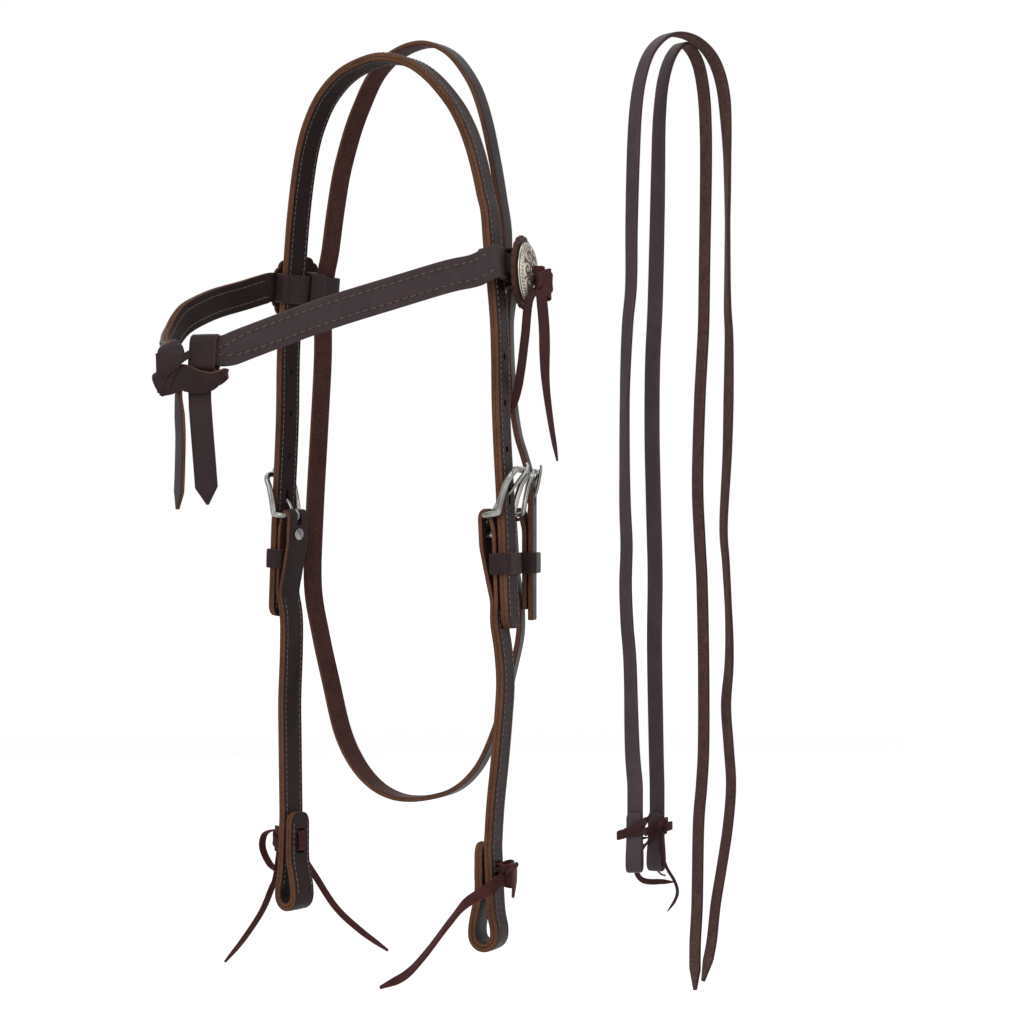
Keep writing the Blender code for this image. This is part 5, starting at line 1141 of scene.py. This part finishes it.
discs = {side: makeLoop(side) for side in (near, off)}
for side in (near, off):
    makeArm(side)
print("browband made")


# the knot of the browband

# tables in mm: (along the brow, top, bottom) of the lower wrap's front; its lean and roll along the brow; the
# places of its strips in the knot's frame (out, aside, up); then their width directions in it (aside, up, out),
# and the shares of their width by the distance from their end
knot = {"place": (0.182, -0.969, 0.3835), "turn": 30.0, "leather": 2.1 * mm,
        "wrap": ((-22.4, 3.1, -6.3), (-17.0, 3.4, -6.3), (-13.0, 4.8, -5.8), (-6.6, 10.8, -2.4), (-2.7, 9.8, -4.5),
                 (1.2, 8.0, -5.0), (5.1, 7.0, -5.3), (9.8, 6.6, -4.2), (12.1, 6.6, -2.6), (15.3, 7.0, 1.6),
                 (19.0, 8.6, 6.6)),
        "wrapHalf": (3.75 * mm, 19.2 * mm, 3.6 * mm), "wrapAside": 1.6 * mm, "wrapOut": 1.7 * mm,
        "wrapBack": 2.6 * mm, "wrapFade": 3.0 * mm,
        "lean": ((-19, -12, 8, 15), (-0.40, -0.1, 0.1, 0.35)), "roll": ((-8, 0, 10, 16), (0.0, 0.12, 0.40, 0.40)),
        "upperHalf": (3.5 * mm, 9.4 * mm, 3.3 * mm), "upperAside": 4.7 * mm, "upperRise": 16.0 * mm,
        "upperProud": 0.6 * mm, "upperTurn": 1.4,
        "side": ((-3.9, -15.5, 19.6), (1.4, -15.4, 21.8), (5.2, -13.7, 19.2), (6.6, -12.4, 15.8), (6.8, -14.4, 7.0),
                 (6.4, -15.6, 0.0), (6.0, -16.5, -5.0)),
        "cross": ((7.2, -18.0, 2.0), (8.6, -13.6, 5.9), (8.7, -9.2, 9.6), (7.2, -4.6, 13.5), (3.0, -0.6, 16.8)),
        "corner": ((4.4, -21.2, 5.8), (7.0, -20.0, 3.6), (8.0, -18.0, 0.0), (7.6, -16.4, -2.8), (5.4, -15.2, -5.0)),
        "right": ((0.0, 1.8, 5.6), (0.0, 1.8, -7.7), (0.8, 3.0, -19.6), (1.7, 5.6, -44.8), (1.4, 7.0, -63.7)),
        "left": ((0.6, -10.0, 5.6), (0.8, -10.2, -7.0), (1.6, -9.1, -18.2), (2.2, -8.4, -30.0), (2.0, -9.2, -54.0),
                 (1.7, -10.4, -66.1)),
        "ways": {"side": ((1.0, 0.40, 0.0),) * 2 + ((1.0, 0.0, 0.0),) * 5, "cross": (-0.64, 0.77, 0.0),
                 "corner": (0.87, 0.49, 0.0), "right": ((1.0, 0.0, 0.0),) * 2 + ((1.0, 0.0, -0.15),) * 3},
        "ends": {"side": ((0.0, 0.42), (5.1 * mm, 0.50), (12.2 * mm, 0.70), (21.2 * mm, 1.02), (25.1 * mm, 0.74),
                          (30.2 * mm, 0.47), (40.0 * mm, 0.45)),
                 "right": ((0.0, 0.10), (9.0 * mm, 1.0), (45.0 * mm, 1.0), (62.0 * mm, 1.07), (80.0 * mm, 1.07)),
                 "left": ((0.0, 0.10), (9.0 * mm, 1.0), (50.0 * mm, 1.0), (59.0 * mm, 0.62), (75.0 * mm, 0.45))},
        "widths": {"lower": 14.0 * mm, "upper": 15.2 * mm, "side": 17.0 * mm, "cross": 4.1 * mm,
                   "corner": 5.6 * mm, "right": 12.4 * mm, "left": 12.0 * mm},
        "thinner": {"cross": 0.75, "corner": 0.9}, "edgeOn": (0.975, -0.232, 0.0)}


def laceStrip(name, spots, ways, width, thickness, finish, body, nodes=(), perSpan=10, ends=None,
              step=0.9 * mm):
    # a flat strip through a few places, with a width direction at each
    path = smooth(spots, perSpan)
    ways = np.asarray(ways, float)
    if ways.ndim == 2:
        marks = np.linspace(0.0, len(spots) - 1, len(path))
        ways = np.column_stack([np.interp(marks, range(len(ways)), ways[:, k]) for k in range(3)])
    line = Track(path, ways)

    def halves(fine):
        left = fine.length - fine.along[:len(fine.points)]
        if ends:
            return width / 2 * np.interp(left, *zip(*ends))
        return np.full(len(left), width / 2)
    return strapPiece(name, line, width, thickness, finish, body, nodes, widths=halves, step=step, tip=0.0)


def makeKnot():
    turn = math.radians(knot["turn"])
    forward = np.array((math.sin(turn), -math.cos(turn), 0.0))
    spot = Frame(place(*knot["place"]), forward, upward)
    along, leather, widths = spot.side, knot["leather"], knot["widths"]

    def strip(label, key, finish, nodes=()):
        ways = np.array(knot["ways"][key]) @ (along, upward, forward) if key in knot["ways"] else knot["edgeOn"]
        laceStrip("knot_" + label, [spot.at(*(np.array(row) * mm)) for row in knot[key]], ways, widths[key],
                  leather * knot["thinner"].get(key, 1.0), finish, "browband", nodes, ends=knot["ends"].get(key))

    # lower wrap: its front edges dip and rise, so the height and the middle follow tables along the brow
    outline = evenOutline(*knot["wrapHalf"], bandStep)
    reach = outline[:, 1] - knot["wrapAside"]
    table = np.array(knot["wrap"]) * mm
    top, bottom = [np.interp(reach, table[:, 0], table[:, k]) for k in (1, 2)]
    front = np.clip(outline[:, 0] / knot["wrapFade"] + 0.5, 0.0, 1.0)
    middle, half = (top + bottom) / 2, (top - bottom) / 2
    half = half * front + np.minimum(half, knot["wrapBack"]) * (1 - front)
    lean, roll = [np.interp(reach / mm, *knot[key])[:, None] for key in ("lean", "roll")]
    points = spot.at(outline[:, 0] + knot["wrapOut"], reach, middle)
    line = Track(points, upward + along * lean + forward * roll, True)

    def halves(fine):
        return np.interp(fine.along[:len(fine.points)], line.along[:-1], half)
    strapPiece("knot_lower_wrap_leather", line, widths["lower"], leather, "dark", "browband", ["knot_lower_wrap"],
               widths=halves, step=bandStep)

    # upper wrap: round the near arm's end, its right edge standing a little proud
    upper = spot.moved(side=knot["upperAside"], up=knot["upperRise"])
    outline = evenOutline(*knot["upperHalf"], bandStep)
    proud = knot["upperProud"] * np.sin(outline[:, 1] / knot["upperHalf"][1] * knot["upperTurn"])
    strapPiece("knot_upper_wrap_leather", Track(upper.at(outline[:, 0], proud, outline[:, 1]), -along, True),
               widths["upper"], leather, "dark", "browband", ["knot_upper_wrap"], step=bandStep)

    strip("side_band_leather", "side", "band", ["knot_side_band"])
    strip("cross_strip_leather", "cross", "dark", ["knot_cross_strip"])
    # a short turned-out corner at the left end of the lower wrap
    strip("left_corner", "corner", "dark")
    strip("right_tail_leather", "right", "band", ["knot_right_tail"])
    # the left tail is seen edge-on
    strip("left_tail_leather", "left", "dark", ["knot_left_tail"])


makeKnot()
print("knot made")


# laces: tied knots and tails

tail = {"turns": ((0.46, 0.42, 0.6, 0.98), (-0.42, -0.46, 0.2, 1.0), (0.02, 0.75, 2.4, 1.20)),
        "conchoWidth": 6.0 * mm, "conchoTails": (4.9 * mm, 6.0 * mm), "bitWidth": 5.4 * mm, "bitKnot": 4.3 * mm,
        "ringReach": 0.82, "ringSquash": 0.12, "ringBand": 0.80, "knotPull": 0.3, "knotStand": 0.62,
        "knotRadius": 0.72,
        "bitTall": 7.6 * mm, "bitTails": {near: (7.29 * mm, 6.48 * mm), off: (5.4 * mm,) * 3}, "bandStep": 0.6 * mm,
        "point": ((0.0, 0.22), (9.0 * mm, 0.80), (20.0 * mm, 1.0)),
        "long": ((0.0, 0.20), (9.0 * mm, 0.45), (40.0 * mm, 0.70), (62.0 * mm, 1.0)),
        "conchoKnot": {near: (7.2 * mm, 9.0 * mm), off: (3.6 * mm, 6.3 * mm)}, "toward": (0.669, 0.743, 0.0),
        "nearConcho": (((1.050, 0.094, 0.284), (1.006, 0.097, 0.326), (0.976, 0.095, 0.362), (0.921, 0.100, 0.395),
                        (0.900, 0.070, 0.416)),
                       ((1.098, 0.122, 0.280), (1.104, 0.132, 0.320), (1.108, 0.135, 0.372), (1.140, 0.140, 0.418),
                        (1.210, 0.131, 0.463))),
        "offConcho": (((-1.130, 0.100, 0.284), (-1.130, 0.112, 0.330), (-1.130, 0.118, 0.380),
                       (-1.130, 0.120, 0.440)),
                      ((-1.160, 0.125, 0.280), (-1.180, 0.135, 0.320), (-1.180, 0.140, 0.380),
                       (-1.170, 0.140, 0.420))),
        "nearBit": (((1.050, -0.095, 0.924), (0.997, -0.178, 0.938), (0.936, -0.224, 0.959), (0.831, -0.282, 0.995),
                     (0.743, -0.326, 1.018), (0.638, -0.385, 1.032)),
                    ((1.105, -0.020, 0.900), (1.100, -0.012, 0.918), (1.085, -0.010, 0.936))),
        "offBit": (((-1.025, 0.085, 0.936), (-0.985, 0.136, 0.960), (-0.876, 0.194, 1.001), (-0.790, 0.275, 1.030),
                    (-0.687, 0.368, 1.056)),
                   ((-1.085, 0.000, 0.962), (-1.110, -0.012, 0.978), (-1.160, -0.038, 1.007),
                    (-1.250, -0.088, 1.042), (-1.338, -0.134, 1.069)),
                   ((-1.060, -0.012, 0.906), (-1.130, -0.034, 0.911), (-1.150, -0.037, 0.928),
                    (-1.110, -0.022, 0.947), (-1.060, -0.005, 0.955)))}


def tiedKnot(name, spot, radius, half, body):
    # crossing turns of lace round the upright: each turn is a tilted ring, and one strand crosses in front
    turn = circle(48)
    for k, (lift, tilt, phase, swell) in enumerate(tail["turns"]):
        reach = radius * tail["ringReach"] * swell
        up = lift * half + tilt * reach * np.sin(turn + phase)
        squash = 1.0 + tail["ringSquash"] * np.cos(2 * turn + phase * 2)
        line = Track(spot.at(reach * np.cos(turn), reach * squash * np.sin(turn), up), spot.up, True)
        strapPiece(name + "_turn_%d" % (k + 1), line, half * tail["ringBand"], size["lace"], "latigo", body,
                   step=tail["bandStep"])


def conchoLace(side):
    disc = discs[side]
    width, lace = tail["conchoWidth"], size["lace"]
    name = sideName[side] + "_concho_lace"
    front = conchoBase + loop["conchoRise"] + size["seatGap"] + lace / 2
    rear = loopFace + (size["plyGap"] + loop["laceRoom"]) / 2
    spread, knotOut = loop["slotSpread"], front + width * tail["knotStand"]
    half = [(knotOut, spread * 0.5), (front, spread), ((front + rear) / 2, spread), (rear, spread)]
    spots = [disc.at(out, -aside) for out, aside in half] + [disc.at(out, aside) for out, aside in reversed(half)]
    laceStrip(name + "_through", spots, disc.up, width, lace, "latigo", "browband", [name], perSpan=1, step=0.4 * mm)
    drop, tall = tail["conchoKnot"][side]
    centre = disc.moved(out=knotOut, up=-drop)
    tiedKnot(name + "_knot", centre, width * tail["knotRadius"], tall, "browband")
    for letter, rows, wide, ends in zip("ab", tail[sideName[side] + "Concho"], tail["conchoTails"],
                                        (tail["point"], tail["long"])):
        spots = [centre.at(0.0, 0.0, -width * tail["knotPull"])] + places(rows)
        laceStrip(name + "_tail_" + letter, spots, tail["toward"] if side == near else centre.side, wide, lace,
                  "latigo", "browband", ends=ends)


def bitLace(side):
    spot = lacePlaces[side]
    width, lace, radius = tail["bitWidth"], size["lace"], tail["bitKnot"]
    name = sideName[side] + "_bit_lace"
    half = size["doubled"] + size["plyGap"]
    knotOut, strand, rise = half + size["runningGap"] + radius, half + size["lapGap"] + lace / 2, cheek["laceHoles"]
    run = [(knotOut, 0.75), (half + size["lapGap"], 1.0), (0.0, 1.0), (-half, 1.0), (-strand, 0.6)]
    spots = [spot.at(out, 0.0, rise * share) for out, share in run]
    spots += [spot.at(out, 0.0, -rise * share) for out, share in reversed(run)]
    laceStrip(name + "_through", spots, spot.side, width, lace, "latigo", "headstall", [name], perSpan=1,
              step=0.4 * mm)
    centre = spot.moved(out=knotOut + size["plyGap"])
    tiedKnot(name + "_knot", centre, radius, tail["bitTall"], "headstall")
    for letter, rows, wide in zip("abc", tail[sideName[side] + "Bit"], tail["bitTails"][side]):
        way = spot.side * 0.7 + upward * 0.7 if side == near and letter == "a" else spot.side
        laceStrip(name + "_tail_" + letter, [centre.at()] + places(rows), way, wide, lace, "latigo", "headstall",
                  ends=None if letter == "c" else tail["point"])


for side in (near, off):
    conchoLace(side)
    bitLace(side)
print("laces made")


# reins over their hook

rein = {"width": 9.0 * mm, "leather": 2.4 * mm, "reach": 126.0 * mm, "loop": 3.6 * mm, "rise": 15.0 * mm,
        "hang": 45.0 * mm, "foldBack": 30.0 * mm, "tie": 20.5 * mm, "lace": 4.4 * mm, "finished": 95.0 * mm,
        "tip": 12.0 * mm, "roundEnd": 4.2 * mm, "loopSwell": 0.9, "loopNeck": 0.35,
        "one": {"spread": 113.3 * mm,
                "path": ((-0.390, 0.827), (-0.414, 0.782), (-0.430, 0.691), (-0.454, 0.646), (-0.466, 0.601),
                         (-0.458, 0.556), (-0.470, 0.511), (-0.474, 0.444), (-0.470, 0.376), (-0.450, 0.308),
                         (-0.422, 0.263), (-0.418, 0.195), (-0.405, 0.120), (-0.385, 0.065), (-0.344, 0.026),
                         (-0.270, -0.004), (-0.150, -0.024), (-0.009, -0.030), (0.140, -0.024), (0.262, -0.006),
                         (0.335, 0.025), (0.364, 0.070), (0.374, 0.130), (0.374, 0.200), (0.374, 0.276),
                         (0.387, 0.323), (0.374, 0.440), (0.340, 0.534), (0.361, 0.581), (0.387, 0.651),
                         (0.387, 0.698), (0.361, 0.745), (0.383, 0.792), (0.404, 0.839), (0.378, 0.886),
                         (0.327, 0.932), (0.272, 0.977), (0.234, 1.023), (0.166, 1.063)),
                "twists": (((0.0, 0.0), (0.11, -5.0), (0.23, 3.0), (0.32, 8.0), (0.39, 16.0), (0.47, 12.0),
                            (0.53, 4.0), (0.62, -2.0), (0.72, -6.0), (0.79, -20.0), (0.84, -38.0)),
                           ((0.04, 0.0), (0.10, 25.0), (0.18, 38.0), (0.25, 33.0), (0.33, 20.0), (0.39, 14.0),
                            (0.50, 22.0), (0.63, 30.0), (0.74, 14.0), (0.82, 14.0)))},
        "two": {"spread": 103.6 * mm,
                "path": ((-0.115, 0.833), (-0.123, 0.787), (-0.136, 0.672), (-0.131, 0.591), (-0.144, 0.511),
                         (-0.156, 0.430), (-0.152, 0.350), (-0.131, 0.281), (-0.115, 0.189), (-0.106, 0.120),
                         (-0.098, 0.070), (-0.072, 0.028), (-0.020, -0.002), (0.050, -0.020), (0.108, -0.025),
                         (0.166, -0.020), (0.230, -0.004), (0.272, 0.026), (0.290, 0.065), (0.293, 0.120),
                         (0.281, 0.229), (0.273, 0.300), (0.256, 0.347), (0.239, 0.394), (0.222, 0.487),
                         (0.243, 0.558), (0.260, 0.604), (0.273, 0.698), (0.273, 0.792), (0.256, 0.839),
                         (0.230, 0.885), (0.218, 0.978), (0.201, 1.025), (0.201, 1.077)),
                "twists": (((0.04, 0.0), (0.16, -20.0), (0.24, -27.0), (0.70, -27.0), (0.80, -22.0)),
                           ((0.04, 0.0), (0.20, 6.0)))}}


def makeRein(label):
    data = rein[label]
    table = np.array(data["path"])
    path = smooth(np.column_stack([np.full(len(table), data["spread"]),
                                   rein["reach"] + size["halfSpread"] * table[:, 0],
                                   -size["headLength"] * table[:, 1]]), 12)
    top = int(np.argmax(path[:, 2]))
    drops = -path[:, 2] / size["headLength"]
    turns = [np.interp(drops, *zip(*data["twists"][leg])) for leg in (0, 1)]
    turn = np.radians(np.where(np.arange(len(path)) < top, *turns))
    ways = np.column_stack([np.cos(turn), -np.sin(turn), np.zeros(len(turn))])
    main = Track(path, ways)
    way = main.sides[0]
    out = -np.cross(upward, way)
    gap = rein["leather"] / 2 + size["plyGap"] / 2
    centre = Frame(main.points[0] + out * gap - upward * rein["hang"], out, upward)
    loopTurn = np.linspace(0.0, math.pi, 17)
    swell, neck = rein["loop"] * rein["loopSwell"], rein["rise"] * rein["loopNeck"]
    legs = [centre.at(-gap, 0.0, rein["rise"]), centre.at(-swell, 0.0, neck)]
    legs += list(centre.at(-rein["loop"] * np.cos(loopTurn), 0.0, -rein["loop"] * np.sin(loopTurn)))
    legs += [centre.at(swell, 0.0, neck), centre.at(gap, 0.0, rein["rise"]), centre.at(gap, 0.0, rein["foldBack"])]
    fold = smooth(legs, 4)[::-1]
    whole = Track(np.vstack([fold, main.points]), -np.vstack([np.tile(way, (len(fold), 1)), main.sides]))

    def halves(fine):
        left = fine.length - fine.along[:len(fine.points)]
        rounded = tipWidths(fine, rein["width"], rein["roundEnd"], 0.0)
        return np.minimum(rounded, rein["width"] / 2 * np.interp(left, (0.0, rein["tip"]), (0.15, 1.0)))
    made = strapPiece("rein_" + label + "_leather", softened(whole, 2, 1.5 * mm), rein["width"], rein["leather"],
                      "rein", "reins", ["rein_" + label], None, halves, 1.5 * mm, 4.0 * mm)
    # the folded end is finished on both sides, so all of it counts as grain
    marks = made.data.attributes["strap"].data
    rows = np.empty(len(marks) * 3)
    marks.foreach_get("vector", rows)
    rows = rows.reshape(-1, 3)
    rows[rows[:, 1] < rein["finished"], 2] = 1.0
    marks.foreach_set("vector", rows.ravel())
    return centre.moved(up=rein["tie"])


# the two turns and the lobe of a rein's lace: lift, slope and width, and how far the outer ones stand clear
tie = {"corner": 0.75, "leather": 0.8, "inner": (-1.6 * mm, 0.10), "outer": (0.8 * mm, 0.62), "outerOut": 0.9,
       "outerAside": 0.4 * mm, "outerWidth": 0.9, "lobe": (2.3 * mm, 2.4 * mm), "lobeOut": 0.8 * mm,
       "lobeAside": {"one": -1, "two": 1}, "lobeClear": 1.5 * mm, "lobeLift": {"one": -3.4 * mm, "two": 1.2 * mm},
       "lobeSlope": 0.3, "lobeWidth": 5.0 * mm, "tailLeather": 0.7,
       "tailEnds": ((0.0, 0.3), (5.0 * mm, 0.85), (11.0 * mm, 1.0))}


def closedLace(name, spot, halfOut, halfSide, lift, slope, width, body, nodes=(), aside=0.0):
    # a turn of lace round a strap: a rounded rectangle that climbs by slope across the strap
    outline = roundedOutline(halfOut, halfSide, min(halfOut, halfSide) * tie["corner"])
    line = Track(spot.at(outline[:, 0], aside + outline[:, 1], lift + slope * outline[:, 1]), spot.up, True)
    return strapPiece(name, line, width, size["lace"] * tie["leather"], "latigo", body, nodes, step=tail["bandStep"])


# the tails of the reins' laces: letter, width in mm, width direction and places in mm, both as (out, side, up)
reinTails = {
    "one": (("a", 2.9, (0, -0.65, 0.75), ((-0.6, 1.5, -0.5), (-1.4, 4.6, 2.0), (-1.8, 7.0, 5.4), (-2.0, 9.9, 8.9))),
            ("b", 2.4, (0, 0.1, 1.0), ((-1.4, 2.0, -5.6), (-1.8, 5.0, -5.4), (-1.4, 7.6, -4.9)))),
    "two": (("a", 3.3, (0, 0.75, 0.62), ((3.9, 3.2, 1.0), (4.2, 0.6, -3.2), (3.9, -2.4, -7.0), (3.2, -5.8, -9.6),
                                        (2.5, -9.2, -13.4), (2.0, -11.2, -18.6), (2.0, -11.8, -23.4),
                                        (2.4, -10.6, -27.2), (3.0, -7.4, -30.0), (3.6, -2.4, -30.6),
                                        (4.2, 4.6, -30.0), (4.6, 12.2, -29.6))),
            ("b", 1.9, (0, 1.0, 0.15), ((4.3, 5.6, -1.0), (4.0, 4.6, -6.0), (3.8, 4.8, -12.0), (3.4, 6.8, -19.4),
                                       (3.2, 8.9, -23.7), (3.0, 12.3, -28.8), (3.0, 14.4, -34.6),
                                       (3.0, 12.9, -40.2), (3.0, 8.4, -46.8))),
            ("c", 1.7, (0.8, 0.5, 0.2), ((-3.4, -1.5, -6.5), (-3.6, -4.2, -10.8), (-3.4, -4.5, -16.4),
                                        (-3.0, -1.8, -22.9), (-2.6, 1.6, -26.6), (-2.4, 4.8, -27.4))))}


def reinLace(label, spot):
    name = "rein_" + label + "_lace"
    halfOut = rein["leather"] + size["plyGap"] / 2 + keeper["gap"] + size["lace"] / 2
    halfSide = rein["width"] / 2 + keeper["gap"] + size["lace"] / 2
    closedLace(name + "_turn_1", spot, halfOut, halfSide, *tie["inner"], rein["lace"], "reins", [name])
    closedLace(name + "_turn_2", spot, halfOut + size["lace"] * tie["outerOut"], halfSide + tie["outerAside"],
               *tie["outer"], rein["lace"] * tie["outerWidth"], "reins")
    aside = tie["lobeAside"][label] * (halfSide + tie["lobeClear"])
    closedLace(name + "_lobe", spot.moved(out=tie["lobeOut"]), *tie["lobe"], tie["lobeLift"][label],
               tie["lobeSlope"], tie["lobeWidth"], "reins", (), aside)
    for letter, width, way, rows in reinTails[label]:
        spots = spot.at(*(np.array(rows).T * mm))
        across = spot.out * way[0] + spot.side * way[1] + spot.up * way[2]
        laceStrip(name + "_tail_" + letter, spots, across, width * mm, size["lace"] * tie["tailLeather"], "latigo",
                  "reins", ends=tie["tailEnds"])


for label in ("one", "two"):
    reinLace(label, makeRein(label))
print("reins made")

print(pieceCount, "pieces")
